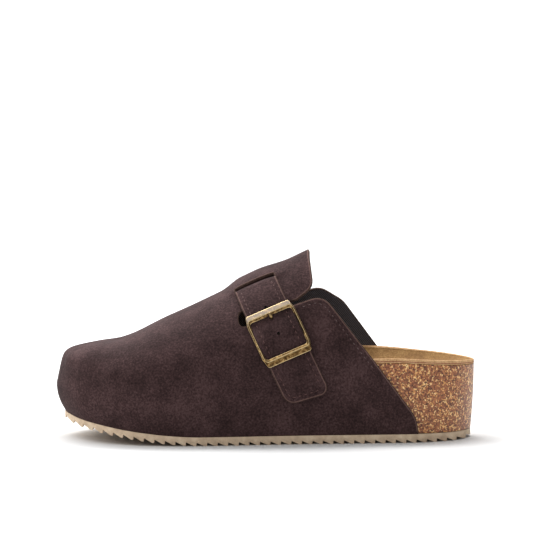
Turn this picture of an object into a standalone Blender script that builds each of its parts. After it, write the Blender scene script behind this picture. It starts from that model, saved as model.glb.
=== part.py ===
"""A platform clog slipper, left shoe: suede upper with a strap and pin buckle, cork midsole, suede insole, toothed sole.

Metres, +Z up. The toe points along -X and the outer (lateral) side of the foot along -Y.
The shoe stands on the plane Z = 0, and the origin lies under the middle of its length and width.
"""

import math
from collections import namedtuple

import bmesh
import bpy
import numpy as np
from mathutils import Matrix, Vector
from mathutils.bvhtree import BVHTree

# Clearance that touching pieces keep, and a larger one for pieces that cross curved facets.
GAP = 0.0003
CURVED_GAP = 0.0006

# Plan outline of the upper's outside where it meets the outsole: half widths each side of the long axis.
Width = namedtuple("Width", "x lateral medial")
HEEL_END = 0.1286
TOE_TIP = -0.1246
TOE_TIP_Y = 0.0060
OUTLINE = (
    Width(0.1180, 0.0222, 0.0218),
    Width(0.1000, 0.0322, 0.0318),
    Width(0.0740, 0.0358, 0.0345),
    Width(0.0440, 0.0385, 0.0350),
    Width(0.0120, 0.0420, 0.0360),
    Width(-0.0180, 0.0468, 0.0400),
    Width(-0.0440, 0.0500, 0.0462),
    Width(-0.0640, 0.0497, 0.0498),
    Width(-0.0840, 0.0455, 0.0495),
    Width(-0.1020, 0.0352, 0.0430),
    Width(-0.1150, 0.0215, 0.0310),
)

# Sections along the last. wide: height of the fullest line; flare: how far the wall bulges out there;
# corner: 0.5 is an ellipse and less is squarer; lean: how far the wall leans in towards its top;
# bed and rims: heights of the footbed's middle and of its two edges.
Section = namedtuple("Section", "x wide flare corner lean bed rim_lateral rim_medial")
SECTIONS = (
    Section(0.1286, 0.0500, 0.0021, 0.50, 0.00, 0.0432, 0.0482, 0.0482),
    Section(0.1000, 0.0525, 0.0021, 0.50, 0.00, 0.0430, 0.0500, 0.0505),
    Section(0.0700, 0.0540, 0.0020, 0.50, 0.00, 0.0425, 0.0512, 0.0530),
    Section(0.0400, 0.0520, 0.0020, 0.50, 0.00, 0.0400, 0.0490, 0.0528),
    Section(0.0100, 0.0470, 0.0024, 0.50, 0.00, 0.0355, 0.0425, 0.0475),
    Section(-0.0200, 0.0415, 0.0028, 0.48, 0.00, 0.0312, 0.0362, 0.0395),
    Section(-0.0500, 0.0370, 0.0032, 0.46, 0.00, 0.0282, 0.0318, 0.0330),
    Section(-0.0842, 0.0340, 0.0036, 0.38, 0.02, 0.0270, 0.0298, 0.0302),
    Section(-0.1100, 0.0335, 0.0049, 0.22, 0.06, 0.0278, 0.0302, 0.0302),
    Section(-0.1246, 0.0330, 0.0056, 0.11, 0.10, 0.0290, 0.0310, 0.0310),
)

# The ridge of the upper, seen from the side, from the toe to behind the flap.
Ridge = namedtuple("Ridge", "x z")
RIDGE = (
    Ridge(-0.1300, 0.0545),
    Ridge(-0.1050, 0.0580),
    Ridge(-0.0900, 0.0605),
    Ridge(-0.0820, 0.0637),
    Ridge(-0.0650, 0.0724),
    Ridge(-0.0450, 0.0815),
    Ridge(-0.0250, 0.0911),
    Ridge(0.0000, 0.1031),
    Ridge(0.0265, 0.1159),
    Ridge(0.0450, 0.1245),
)
SPINE_Y = 0.0030
TOE_POLE_X = -0.0842
HEEL_POLE_X = 0.1000
# Share of the way back from the toe pole that a section's top lies, so sections lean like the instep.
SECTION_LEAN = 0.65
WALL_FULLNESS = 2.2
SIDE_COLUMNS = 19
TOE_COLUMNS = 17
HEEL_COLUMNS = 13

WALL = 0.0022
INSOLE_THICKNESS = 0.0018
INSOLE_CUP = 4.0

# Outsole: side view of its top and of the line that its tooth tips follow.
SOLE_THICKNESS = 0.0052
SOLE_TOE_THICKNESS = 0.0044
TOE_SPRING = 0.0112
SPRING_START_X = -0.0390
SPRING_POWER = 1.6
HEEL_BEVEL = 0.0008
BEVEL_START_X = 0.1100
TOOTH_PITCH = 0.00631
TOOTH_DEPTH = 0.0021
TOOTH_LAND = 0.0016
TOOTH_FIRST_X = -0.1237
SOLE_PROUD = 0.0005

# Top line of the upper, seen from the side: corners, each with the radius that rounds it.
Corner = namedtuple("Corner", "x z radius")
LATERAL_TOPLINE = (
    Corner(0.0260, 0.1400, 0.0),
    Corner(0.0260, 0.1120, 0.020),
    Corner(0.0284, 0.0945, 0.009),
    Corner(0.0180, 0.0864, 0.004),
    Corner(-0.0175, 0.0795, 0.0045),
    Corner(-0.0160, 0.0697, 0.0045),
    Corner(0.0180, 0.0844, 0.004),
    Corner(0.0342, 0.0898, 0.015),
    Corner(0.0650, 0.0500, 0.040),
    Corner(0.0908, 0.0150, 0.020),
    Corner(0.0938, -0.0100, 0.0),
)
MEDIAL_TOPLINE = (
    Corner(0.0260, 0.1400, 0.0),
    Corner(0.0260, 0.1120, 0.020),
    Corner(0.0288, 0.0970, 0.009),
    Corner(0.0195, 0.0893, 0.004),
    Corner(-0.0125, 0.0825, 0.0040),
    Corner(-0.0110, 0.0735, 0.0040),
    Corner(0.0180, 0.0865, 0.004),
    Corner(0.0335, 0.0913, 0.012),
    Corner(0.0484, 0.0822, 0.018),
    Corner(0.0714, 0.0512, 0.040),
    Corner(0.0930, 0.0150, 0.020),
    Corner(0.0955, -0.0100, 0.0),
)
BEHIND_X = 0.1600

# Strap: a band between two planes square to the instep, led out through a slit beside the ridge.
# Distances along it run from the ridge, down the lateral side.
STRAP_TILT = math.radians(25.5)
STRAP_CENTRE = 0.0348
STRAP_WIDTH = 0.0257
STRAP_THICKNESS = 0.0017
STRAP_START = -0.0460
STRAP_END = 0.1085
STRAP_END_SLANT = 0.30
STRAP_END_RADIUS = 0.0055
SLIT_LIP = 0.0203
SLIT_LENGTH = 0.0075
SLIT_SIDE = 0.0008
BULGE = 0.0029
BULGE_TOEWARD = 0.0220
BULGE_RISE = 0.0140
BULGE_HEELWARD = 0.0270
BULGE_FALL = 0.0260
CORE_DEPTH = 0.0400

# Buckle, in its own frame: u down the strap, w towards the heel, n outwards, on the upper's surface.
BUCKLE_AT = 0.0642
BUCKLE_SQUEEZE = 0.0005
FRAME_HALF_LENGTH = 0.0170
FRAME_HALF_WIDTH = 0.0140
FRAME_MID_HALF_WIDTH = 0.0156
FRAME_MID_HALF_LENGTH = 0.0110
WINDOW_HALF_LENGTH = 0.0122
WINDOW_HALF_WIDTH = 0.0136
FRAME_BASE = 0.0026
FRAME_TILT = 0.0
FRAME_BOW = 0.0008
FRAME_HEIGHT = 0.0019
BAR_RADIUS = 0.0007
BAR_HEIGHT = 0.0024
PRONG_RADIUS = 0.0007
NOTCH_RADIUS = 0.0014
NOTCH_U = -0.0122
HOLE_RADIUS = 0.0009
HOLE_PITCH = 0.0093
PRONG_HOLE_U = -0.0090
PRONG_HOLE_RADIUS = 0.0021
BUCKLE_CHORD = 0.0120

# Height of the strap's middle layer above the upper, by distance from the buckle's middle.
Level = namedtuple("Level", "u height")
STRAP_LEVELS = (
    Level(-0.0240, 0.0015),
    Level(-0.0180, 0.0016),
    Level(-0.0125, 0.0019),
    Level(-0.0085, 0.0028),
    Level(-0.0050, 0.0038),
    Level(0.0000, 0.0044),
    Level(0.0050, 0.0038),
    Level(0.0085, 0.0026),
    Level(0.0125, 0.0018),
    Level(0.0200, 0.0016),
    Level(0.0440, 0.0026),
)

# Colours as linear RGB, with roughness and metallic.
Finish = namedtuple("Finish", "name colour roughness metallic")
SUEDE = Finish("dark_brown_suede", (0.050, 0.030, 0.030), 0.95, 0.0)
CORK = Finish("granulated_cork", (0.330, 0.160, 0.090), 0.40, 0.0)
FOOTBED_SUEDE = Finish("tan_footbed_suede", (0.460, 0.270, 0.150), 0.90, 0.0)
SOLE_FOAM = Finish("tan_sole_foam", (0.450, 0.320, 0.200), 0.70, 0.0)
ANTIQUE_BRASS = Finish("antique_brass", (0.500, 0.360, 0.160), 0.35, 1.0)


def smooth_curve(xs, ys):
    """A cubic curve through the points, with slopes from their neighbours and straight ends beyond them."""
    order = np.argsort(xs)
    xs = np.asarray(xs, float)[order]
    ys = np.asarray(ys, float)[order]
    slopes = np.gradient(ys, xs)

    def value(x):
        x = np.asarray(x, float)
        inside = np.clip(x, xs[0], xs[-1])
        i = np.clip(np.searchsorted(xs, inside) - 1, 0, len(xs) - 2)
        step = xs[i + 1] - xs[i]
        t = (inside - xs[i]) / step
        curve = (
            ys[i] * (1 + 2 * t) * (1 - t) ** 2
            + slopes[i] * step * t * (1 - t) ** 2
            + ys[i + 1] * t * t * (3 - 2 * t)
            + slopes[i + 1] * step * t * t * (t - 1)
        )
        end_slope = np.where(x < xs[0], slopes[0], slopes[-1])
        return curve + (x - inside) * end_slope

    return value


def table_curve(rows, column):
    """One column of a table as a curve over its x column."""
    return smooth_curve([row.x for row in rows], [getattr(row, column) for row in rows])


WIDE = table_curve(SECTIONS, "wide")
FLARE = table_curve(SECTIONS, "flare")
CORNER = table_curve(SECTIONS, "corner")
LEAN = table_curve(SECTIONS, "lean")
BED = table_curve(SECTIONS, "bed")
RIM_LATERAL = table_curve(SECTIONS, "rim_lateral")
RIM_MEDIAL = table_curve(SECTIONS, "rim_medial")
RIDGE_Z = table_curve(RIDGE, "z")
STRAP_LEVEL = smooth_curve([r.u for r in STRAP_LEVELS], [r.height for r in STRAP_LEVELS])


def closed_curve(points, samples=16):
    """A smooth closed curve through plan points."""
    p = np.asarray(points, float)
    out = []
    for i in range(len(p)):
        a, b, c, d = p[i - 1], p[i], p[(i + 1) % len(p)], p[(i + 2) % len(p)]
        for t in np.arange(samples) / samples:
            out.append(
                0.5
                * (
                    2 * b
                    + (c - a) * t
                    + (2 * a - 5 * b + 4 * c - d) * t**2
                    + (3 * b - a - 3 * c + d) * t**3
                )
            )
    return np.array(out)


def plan_outline():
    """The dense closed outline, from the heel end along the lateral side, round the toe and back."""
    lateral = [(row.x, -row.lateral) for row in OUTLINE]
    medial = [(row.x, row.medial) for row in reversed(OUTLINE)]
    return closed_curve([(HEEL_END, 0.0), *lateral, (TOE_TIP, TOE_TIP_Y), *medial])


PLAN = plan_outline()


def plan_normals():
    """Outward unit normals of the dense outline."""
    along = np.roll(PLAN, -1, axis=0) - np.roll(PLAN, 1, axis=0)
    out = np.stack([along[:, 1], -along[:, 0]], axis=1)
    out /= np.linalg.norm(out, axis=1)[:, None]
    outwards = PLAN - PLAN.mean(axis=0)
    return out * (1 if (out * outwards).sum() > 0 else -1)


PLAN_NORMALS = plan_normals()


class Column:
    """One upright section of the shoe: where its wall starts in plan, and the point on the spine it leans to."""

    def __init__(self, index, spine_x, fan):
        i = int(math.floor(index)) % len(PLAN)
        j = (i + 1) % len(PLAN)
        share = index - math.floor(index)
        self.base = PLAN[i] * (1 - share) + PLAN[j] * share
        out = PLAN_NORMALS[i] * (1 - share) + PLAN_NORMALS[j] * share
        self.out = out / np.linalg.norm(out)
        self.spine_x = spine_x
        self.fan = fan
        self.x = self.base[0]

    def top_x(self):
        """Where along the ridge the upper's section ends."""
        return TOE_POLE_X + SECTION_LEAN * max(self.spine_x - TOE_POLE_X, 0.0)

    def rim(self):
        """Height of the footbed's edge here, passing smoothly from one side to the other at the ends."""
        share = 0.5 + 0.5 * math.sin(math.pi / 2 * np.clip(self.base[1] / 0.020, -1, 1))
        return float(RIM_LATERAL(self.x) * (1 - share) + RIM_MEDIAL(self.x) * share)

    def wall(self, z, inset=0.0):
        """A point of the wall's outside at height z, moved inwards by inset, measured square to the wall."""
        foot = float(sole_top(self.x))
        height = float(WIDE(self.x)) - foot
        flare = float(FLARE(self.x))
        left = 1 - np.clip((z - foot) / height, 0.0, 1.0)
        slope = flare * WALL_FULLNESS * left ** (WALL_FULLNESS - 1) / height
        out = flare * (1 - left**WALL_FULLNESS) - inset * math.hypot(1.0, slope)
        x, y = self.base + self.out * out
        return np.array([x, y, z])


def index_where(values, target, indices):
    """The fractional index at which a run of values reaches the target."""
    order = np.argsort(values)
    return float(np.interp(target, np.asarray(values)[order], np.asarray(indices)[order]))


def side_column(x, medial):
    """The column whose foot stands at x on one side."""
    toe = int(np.argmin(PLAN[:, 0]))
    half = np.arange(toe, len(PLAN)) if medial else np.arange(0, toe + 1)
    return Column(index_where(PLAN[half, 0], x, half), x, False)


def fan_column(pole_x, forward, angle):
    """The column that a ray from a pole meets, at an angle from the toe's or heel's direction."""
    pole_y = SPINE_Y
    away = (PLAN[:, 0] - pole_x) * forward
    half = np.flatnonzero(away > -1e-4)
    start = len(PLAN) // 2 if forward > 0 else 0
    half = sorted(half, key=lambda i: (i + start) % len(PLAN))
    unwrapped = [(i + start) % len(PLAN) for i in half]
    angles = np.arctan2(PLAN[half, 1] - pole_y, away[half])
    index = index_where(angles, angle, unwrapped) - start
    return Column(index % len(PLAN), pole_x, True)


def columns(side_count, toe_count, heel_count=0, start_x=HEEL_POLE_X):
    """Columns along the lateral side, round the toe, back along the medial side and, if asked, round the heel."""
    stations = np.linspace(start_x, TOE_POLE_X, side_count)
    found = [side_column(x, False) for x in stations]
    for angle in np.linspace(-90, 90, toe_count + 2)[1:-1]:
        found.append(fan_column(TOE_POLE_X, -1, math.radians(angle)))
    found += [side_column(x, True) for x in stations[::-1]]
    for angle in np.linspace(90, -90, heel_count + 2)[1:-1] if heel_count else ():
        found.append(fan_column(HEEL_POLE_X, 1, math.radians(angle)))
    return found


def spring(x):
    """Height of the line that the tooth tips follow: flat, with toe spring and a small heel bevel."""
    x = np.asarray(x, float)
    toe = np.clip((SPRING_START_X - x) / (SPRING_START_X - TOE_TIP), 0.0, None)
    heel = np.clip((x - BEVEL_START_X) / (HEEL_END - BEVEL_START_X), 0.0, None)
    return TOE_SPRING * toe**SPRING_POWER + HEEL_BEVEL * heel**2


def sole_top(x):
    """Height of the outsole's top, which the midsole and upper stand on."""
    x = np.asarray(x, float)
    toe = np.clip((SPRING_START_X - x) / (SPRING_START_X - TOE_TIP), 0.0, 1.2)
    thickness = SOLE_THICKNESS + (SOLE_TOE_THICKNESS - SOLE_THICKNESS) * toe
    heel = np.clip((x - BEVEL_START_X) / (HEEL_END - BEVEL_START_X), 0.0, None)
    return spring(x) + thickness - HEEL_BEVEL * heel**2


STRAP_ALONG = np.array([math.cos(STRAP_TILT), 0.0, math.sin(STRAP_TILT)])
STRAP_UP = np.array([-math.sin(STRAP_TILT), 0.0, math.cos(STRAP_TILT)])


def core_point(across):
    """The point inside the instep that the strap's rays start from, in the plane at a distance along the ridge."""
    xs = np.linspace(TOE_POLE_X, 0.06, 400)
    along = xs * STRAP_ALONG[0] + RIDGE_Z(xs) * STRAP_ALONG[2]
    x = float(np.interp(across, along, xs))
    top = np.array([x, SPINE_Y, float(RIDGE_Z(x))])
    return top - STRAP_UP * CORE_DEPTH


def ease(t):
    """Smooth step from 0 to 1."""
    t = np.clip(t, 0.0, 1.0)
    return t * t * (3 - 2 * t)


def strap_bulge(point):
    """How far the strap that runs beneath it lifts the flap at a point."""
    across = point @ STRAP_ALONG - STRAP_CENTRE
    band = ease((across + BULGE_TOEWARD) / BULGE_RISE) * ease((BULGE_HEELWARD - across) / BULGE_FALL)
    core = core_point(point @ STRAP_ALONG)
    angle = math.atan2(-(point[1] - SPINE_Y), (point - core) @ STRAP_UP)
    arc = angle * CORE_DEPTH
    lateral = 1 - ease((arc - SLIT_LIP) / (0.6 * SLIT_LENGTH))
    medial = ease((arc + 0.040) / 0.030)
    return BULGE * lateral * medial * band


def upper_column(column, wall_rows, dome_rows):
    """Points of the upper's outside up one column, from the sole to the ridge."""
    foot = float(sole_top(column.x)) + GAP
    wide = float(WIDE(column.x))
    heights = np.linspace(foot, wide, wall_rows)
    points = [column.wall(z) for z in heights]
    start = points[-1]
    top_x = column.top_x()
    turn = np.linspace(0.0, math.pi / 2, 181)
    power = 2 * float(CORNER(column.x))
    up = np.sin(turn) ** power
    out = np.cos(turn) ** power * (1 - float(LEAN(column.x)) * up)
    out[-1] = 0.0
    along = 1 - out if column.fan else up
    x = start[0] + (top_x - start[0]) * along
    y = SPINE_Y + (start[1] - SPINE_Y) * out
    z = wide + (RIDGE_Z(x) - wide) * up
    dense = np.stack([x, y, z], axis=1)
    arc = np.concatenate([[0], np.cumsum(np.linalg.norm(np.diff(dense, axis=0), axis=1))])
    for length in np.linspace(0, arc[-1], dome_rows)[1:]:
        point = np.array([np.interp(length, arc, dense[:, k]) for k in range(3)])
        outwards = np.array([0.0, point[1] - SPINE_Y, point[2] - core_point(point @ STRAP_ALONG)[2]])
        points.append(point + outwards / np.linalg.norm(outwards) * strap_bulge(point))
    return points


def material(finish):
    """The Principled material of a finish, made once."""
    made = bpy.data.materials.get(finish.name) or bpy.data.materials.new(finish.name)
    made.use_nodes = True
    shader = made.node_tree.nodes["Principled BSDF"]
    shader.inputs["Base Color"].default_value = (*finish.colour, 1.0)
    shader.inputs["Roughness"].default_value = finish.roughness
    shader.inputs["Metallic"].default_value = finish.metallic
    return made


def add_object(name, mesh, finish=None, collection=None):
    """Links a mesh as a named object with its material, in the shoe's collection unless told otherwise."""
    obj = bpy.data.objects.new(name, mesh)
    (collection or bpy.data.collections["clog"]).objects.link(obj)
    if finish:
        mesh.materials.append(material(finish))
    return obj


def add_cutter(name, mesh):
    """Links a mesh as a hidden cutter."""
    obj = add_object(name, mesh, collection=bpy.data.collections["cutters"])
    obj.hide_render = True
    obj.display_type = "WIRE"
    return obj


def mesh_from(name, points, faces, weld=1e-6):
    """A mesh from points and faces, with coinciding points made one and its faces turned outwards."""
    mesh = bpy.data.meshes.new(name)
    mesh.from_pydata([tuple(p) for p in points], [], faces)
    bm = bmesh.new()
    bm.from_mesh(mesh)
    bmesh.ops.remove_doubles(bm, verts=bm.verts, dist=weld)
    bmesh.ops.recalc_face_normals(bm, faces=bm.faces)
    bm.to_mesh(mesh)
    bm.free()
    return mesh


def grid_faces(rows, row_length, closed):
    """Quads between neighbouring rows of points."""
    last = row_length if closed else row_length - 1
    return [
        (
            r * row_length + c,
            r * row_length + (c + 1) % row_length,
            (r + 1) * row_length + (c + 1) % row_length,
            (r + 1) * row_length + c,
        )
        for r in range(rows - 1)
        for c in range(last)
    ]


def ring_solid(name, rings, finish):
    """A closed body through a stack of closed rings, whose first and last have closed up on the spine."""
    points = [p for ring in rings for p in ring]
    mesh = mesh_from(name, points, grid_faces(len(rings), len(rings[0]), True))
    return add_object(name, mesh, finish)


def boolean(obj, cutter, operation="DIFFERENCE"):
    """Adds an exact Boolean modifier."""
    modifier = obj.modifiers.new(cutter.name, "BOOLEAN")
    modifier.operation = operation
    modifier.solver = "EXACT"
    modifier.object = cutter


def side_prism(name, outline, y_low, y_high):
    """A prism across the shoe with an outline seen from the side."""
    count = len(outline)
    points = [(x, y, z) for y in (y_low, y_high) for x, z in outline]
    faces = [tuple(range(count)), tuple(range(2 * count - 1, count - 1, -1))]
    faces += [(i, (i + 1) % count, count + (i + 1) % count, count + i) for i in range(count)]
    return mesh_from(name, points, faces)


def rounded_corners(corners, steps=6):
    """The points of a polyline with its corners rounded by their radii."""
    points = []
    for i, corner in enumerate(corners):
        here = Vector((corner.x, corner.z))
        if corner.radius == 0 or i in (0, len(corners) - 1):
            points.append(tuple(here))
            continue
        back = Vector((corners[i - 1].x, corners[i - 1].z)) - here
        ahead = Vector((corners[i + 1].x, corners[i + 1].z)) - here
        half = back.angle(ahead) / 2
        reach = min(corner.radius / math.tan(half), 0.49 * back.length, 0.49 * ahead.length)
        start = here + back.normalized() * reach
        end = here + ahead.normalized() * reach
        for t in np.linspace(0, 1, steps + 1):
            points.append(tuple(start * (1 - t) ** 2 + here * 2 * t * (1 - t) + end * t * t))
    return points


def footbed_height(column, share):
    """Height of the footbed at a share of the way from the edge to the spine."""
    x = column.x + (column.spine_x - column.x) * share
    bed = float(BED(x))
    return bed + (column.rim() - bed) * (1 - share) ** INSOLE_CUP


def footbed_point(column, share, inset, drop):
    """A point of the footbed, with its edge inset from the wall and the surface dropped by a distance."""
    z = footbed_height(column, share)
    edge = column.wall(z - drop, inset)
    spine = np.array([column.spine_x, SPINE_Y, 0.0])
    point = edge + (spine - edge) * share
    point[2] = z - drop
    return point


def build_outsole():
    """The toothed sole: its side view, cut to its plan outline."""
    tips = []
    x = TOOTH_FIRST_X - TOOTH_PITCH
    while x < HEEL_END + TOOTH_PITCH:
        notch, land, tip = x, x + TOOTH_PITCH - TOOTH_LAND, x + TOOTH_PITCH - 0.0003
        tips.append((notch, float(spring(notch)) + TOOTH_DEPTH))
        tips.append((land, float(spring(land))))
        tips.append((tip, float(spring(tip))))
        x += TOOTH_PITCH
    tops = [(x, float(sole_top(x))) for x in np.linspace(HEEL_END + 0.006, TOE_TIP - 0.006, 29)]
    side = side_prism("outsole", tips + tops, -0.07, 0.07)
    sole = add_object("outsole", side, SOLE_FOAM)
    outline = []
    for column in columns(SIDE_COLUMNS, TOE_COLUMNS, HEEL_COLUMNS):
        covered = float(ease((0.112 - column.x) / 0.030))
        out = SOLE_PROUD * covered - (WALL + GAP) * (1 - covered)
        outline.append(column.base + column.out * out)
    count = len(outline)
    points = [(x, y, z) for z in (-0.01, 0.03) for x, y in outline]
    faces = [tuple(range(count)), tuple(range(2 * count - 1, count - 1, -1))]
    faces += [(i, (i + 1) % count, count + (i + 1) % count, count + i) for i in range(count)]
    plan = add_cutter("sole_plan", mesh_from("sole_plan", points, faces))
    boolean(sole, plan, "INTERSECT")
    return sole


def build_midsole(loop):
    """The cork platform, from the outsole's top to under the insole, with the footbed's hollow in its top."""
    inset = WALL + GAP
    rings = []
    for share in (1.0, 0.5):
        ring = []
        for column in loop:
            edge = column.wall(float(sole_top(column.x)), inset)
            spine = np.array([column.spine_x, SPINE_Y, 0.0])
            point = edge + (spine - edge) * share
            point[2] = float(sole_top(point[0])) + GAP
            ring.append(point)
        rings.append(ring)
    for share in (0.0, 0.35, 0.7, 1.0):
        ring = []
        for column in loop:
            low = float(sole_top(column.x)) + GAP
            high = column.rim() - INSOLE_THICKNESS - GAP
            ring.append(column.wall(low + (high - low) * share, inset))
        rings.append(ring)
    for share in (0.05, 0.14, 0.28, 0.5, 1.0):
        rings.append([footbed_point(c, share, inset, INSOLE_THICKNESS + GAP) for c in loop])
    return ring_solid("cork_midsole", rings, CORK)


def build_insole(loop):
    """The suede-covered footbed layer that lines the midsole's top and shows as its rim."""
    inset = WALL + GAP
    shares = (0.0, 0.05, 0.14, 0.28, 0.5, 1.0)
    rings = [[footbed_point(c, s, inset, INSOLE_THICKNESS) for c in loop] for s in reversed(shares)]
    rings.append([c.wall(c.rim() - INSOLE_THICKNESS * 0.35, inset) for c in loop])
    rings.append([footbed_point(c, 0.012, inset, 0.0) for c in loop])
    rings += [[footbed_point(c, s, inset, 0.0) for c in loop] for s in shares[1:]]
    return ring_solid("insole", rings, FOOTBED_SUEDE)


def upper_surface(wall_rows=5, dome_rows=16):
    """The outside of the upper before its top line is cut, as one open mesh."""
    loop = columns(SIDE_COLUMNS, TOE_COLUMNS)
    grid = [upper_column(c, wall_rows, dome_rows) for c in loop]
    points = [p for column in grid for p in column]
    faces = grid_faces(len(grid), len(grid[0]), False)
    mesh = mesh_from("upper", points, faces)
    bm = bmesh.new()
    bm.from_mesh(mesh)
    bm.faces.ensure_lookup_table()
    toe = min(bm.faces, key=lambda f: f.calc_center_median().x)
    if toe.normal.x > 0:
        bmesh.ops.reverse_faces(bm, faces=bm.faces)
    bm.to_mesh(mesh)
    bm.free()
    return mesh


class StrapSurface:
    """The upper's outside under the strap, found by rays from inside the instep."""

    def __init__(self, mesh):
        bm = bmesh.new()
        bm.from_mesh(mesh)
        self.tree = BVHTree.FromBMesh(bm)
        bm.free()
        self.angles = np.radians(np.arange(-80.0, 156.0, 1.0))
        self.centre = self.section(STRAP_CENTRE)
        steps = np.linalg.norm(np.diff(self.centre, axis=0), axis=1)
        arc = np.concatenate([[0], np.cumsum(steps)])
        self.arc = arc - np.interp(0.0, self.angles, arc)

    def section(self, across):
        """Where rays at every angle meet the upper, in one plane across the instep."""
        core = core_point(across)
        hits = []
        for angle in self.angles:
            ray = STRAP_UP * math.cos(angle) + np.array([0.0, -math.sin(angle), 0.0])
            found, _, _, _ = self.tree.ray_cast(Vector(core), Vector(ray))
            hits.append(found if found is not None else hits[-1])
        return np.array([tuple(h) for h in hits])

    def point(self, across, arc, height, sections={}):
        """The point at a distance down the strap, at a height above the upper."""
        if across not in sections:
            sections[across] = self.section(across)
        hits = sections[across]
        reach = 0.004

        def at(distance):
            angle = np.interp(distance, self.arc, self.angles)
            return np.array([np.interp(angle, self.angles, hits[:, k]) for k in range(3)])

        along = at(arc + reach) - at(arc - reach)
        normal = np.cross(along, STRAP_ALONG)
        normal /= np.linalg.norm(normal)
        core = core_point(across)
        if normal @ (at(arc) - core) < 0:
            normal = -normal
        return at(arc) + normal * height


def strap_height(arc):
    """Height of the strap's middle layer above the upper's outside: under the flap, through the slit, then over."""
    inside = -(WALL + CURVED_GAP + STRAP_THICKNESS / 2)
    outside = float(STRAP_LEVEL(max(arc - BUCKLE_AT, STRAP_LEVELS[0].u)))
    return inside + (outside - inside) * float(ease((arc - SLIT_LIP + 0.0005) / (0.9 * SLIT_LENGTH)))


def build_strap(surface):
    """The strap: one band from inside the medial quarter, out through the slit and down through the buckle."""
    shares = np.array([-1.0, -0.92, -0.76, -0.4, 0.0, 0.4, 0.76, 0.92, 1.0])
    rounded = STRAP_END - 0.0085
    arcs = np.concatenate([np.arange(STRAP_START, rounded, 0.0028), np.linspace(rounded, STRAP_END, 4)])
    grid = []
    for arc in arcs:
        row = []
        squeezed = BUCKLE_SQUEEZE * float(ease((0.0180 - abs(arc - BUCKLE_AT)) / 0.0060))
        half = STRAP_WIDTH / 2 - squeezed
        for share in shares:
            corner = max(abs(share) * half - (half - STRAP_END_RADIUS), 0.0)
            rounding = STRAP_END_RADIUS - math.sqrt(STRAP_END_RADIUS**2 - corner**2)
            end = STRAP_END + STRAP_END_SLANT * share * half - rounding
            stretch = float(ease((arc - 0.080) / (STRAP_END - 0.080)))
            place = arc + (end - STRAP_END) * stretch
            row.append(surface.point(STRAP_CENTRE + share * half, place, strap_height(place)))
        grid.append(row)
    points = [p for row in grid for p in row]
    mesh = mesh_from("strap", points, grid_faces(len(grid), len(shares), False))
    strap = add_object("strap", mesh, SUEDE)
    solid = strap.modifiers.new("thickness", "SOLIDIFY")
    solid.thickness = STRAP_THICKNESS
    solid.offset = 0.0
    solid.use_even_offset = False
    return strap


def buckle_matrix(surface):
    """The buckle's own frame: its origin on the upper under its middle, u down the strap, w to the heel, n out."""
    here = surface.point(STRAP_CENTRE, BUCKLE_AT, 0.0)
    above = surface.point(STRAP_CENTRE, BUCKLE_AT - BUCKLE_CHORD, 0.0)
    below = surface.point(STRAP_CENTRE, BUCKLE_AT + BUCKLE_CHORD, 0.0)
    toeward = surface.point(STRAP_CENTRE - BUCKLE_CHORD, BUCKLE_AT, 0.0)
    heelward = surface.point(STRAP_CENTRE + BUCKLE_CHORD, BUCKLE_AT, 0.0)
    u = Vector(below - above).normalized()
    n = Vector(heelward - toeward).cross(u).normalized()
    if n.y > 0:
        n = -n
    w = u.cross(n) if u.cross(n).x > 0 else n.cross(u)
    return Matrix(
        (
            (u.x, w.x, n.x, here[0]),
            (u.y, w.y, n.y, here[1]),
            (u.z, w.z, n.z, here[2]),
            (0, 0, 0, 1),
        )
    )


def frame_height(u):
    """Height of the buckle frame's underside along the strap: tilted and slightly bowed."""
    return FRAME_BASE - FRAME_TILT * u - FRAME_BOW * (u / FRAME_HALF_LENGTH) ** 2


def frame_loop(half_length, half_width, mid_length, mid_width, rounding):
    """A closed outline round the buckle: straight ends, sides that stand wider in the middle, rounded corners."""
    quarter = (
        Corner(half_length, half_width - 0.004, 0.0),
        Corner(half_length, half_width, rounding),
        Corner(mid_length, mid_width, 0.003),
        Corner(0.0, mid_width, 0.0),
    )
    points = rounded_corners(quarter, 4)
    points.insert(0, (half_length, 0.0))
    mirrored = [(-u, w) for u, w in reversed(points[:-1])]
    side = points + mirrored
    other = [(u, -w) for u, w in reversed(side[1:-1])]
    return side + other


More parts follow.
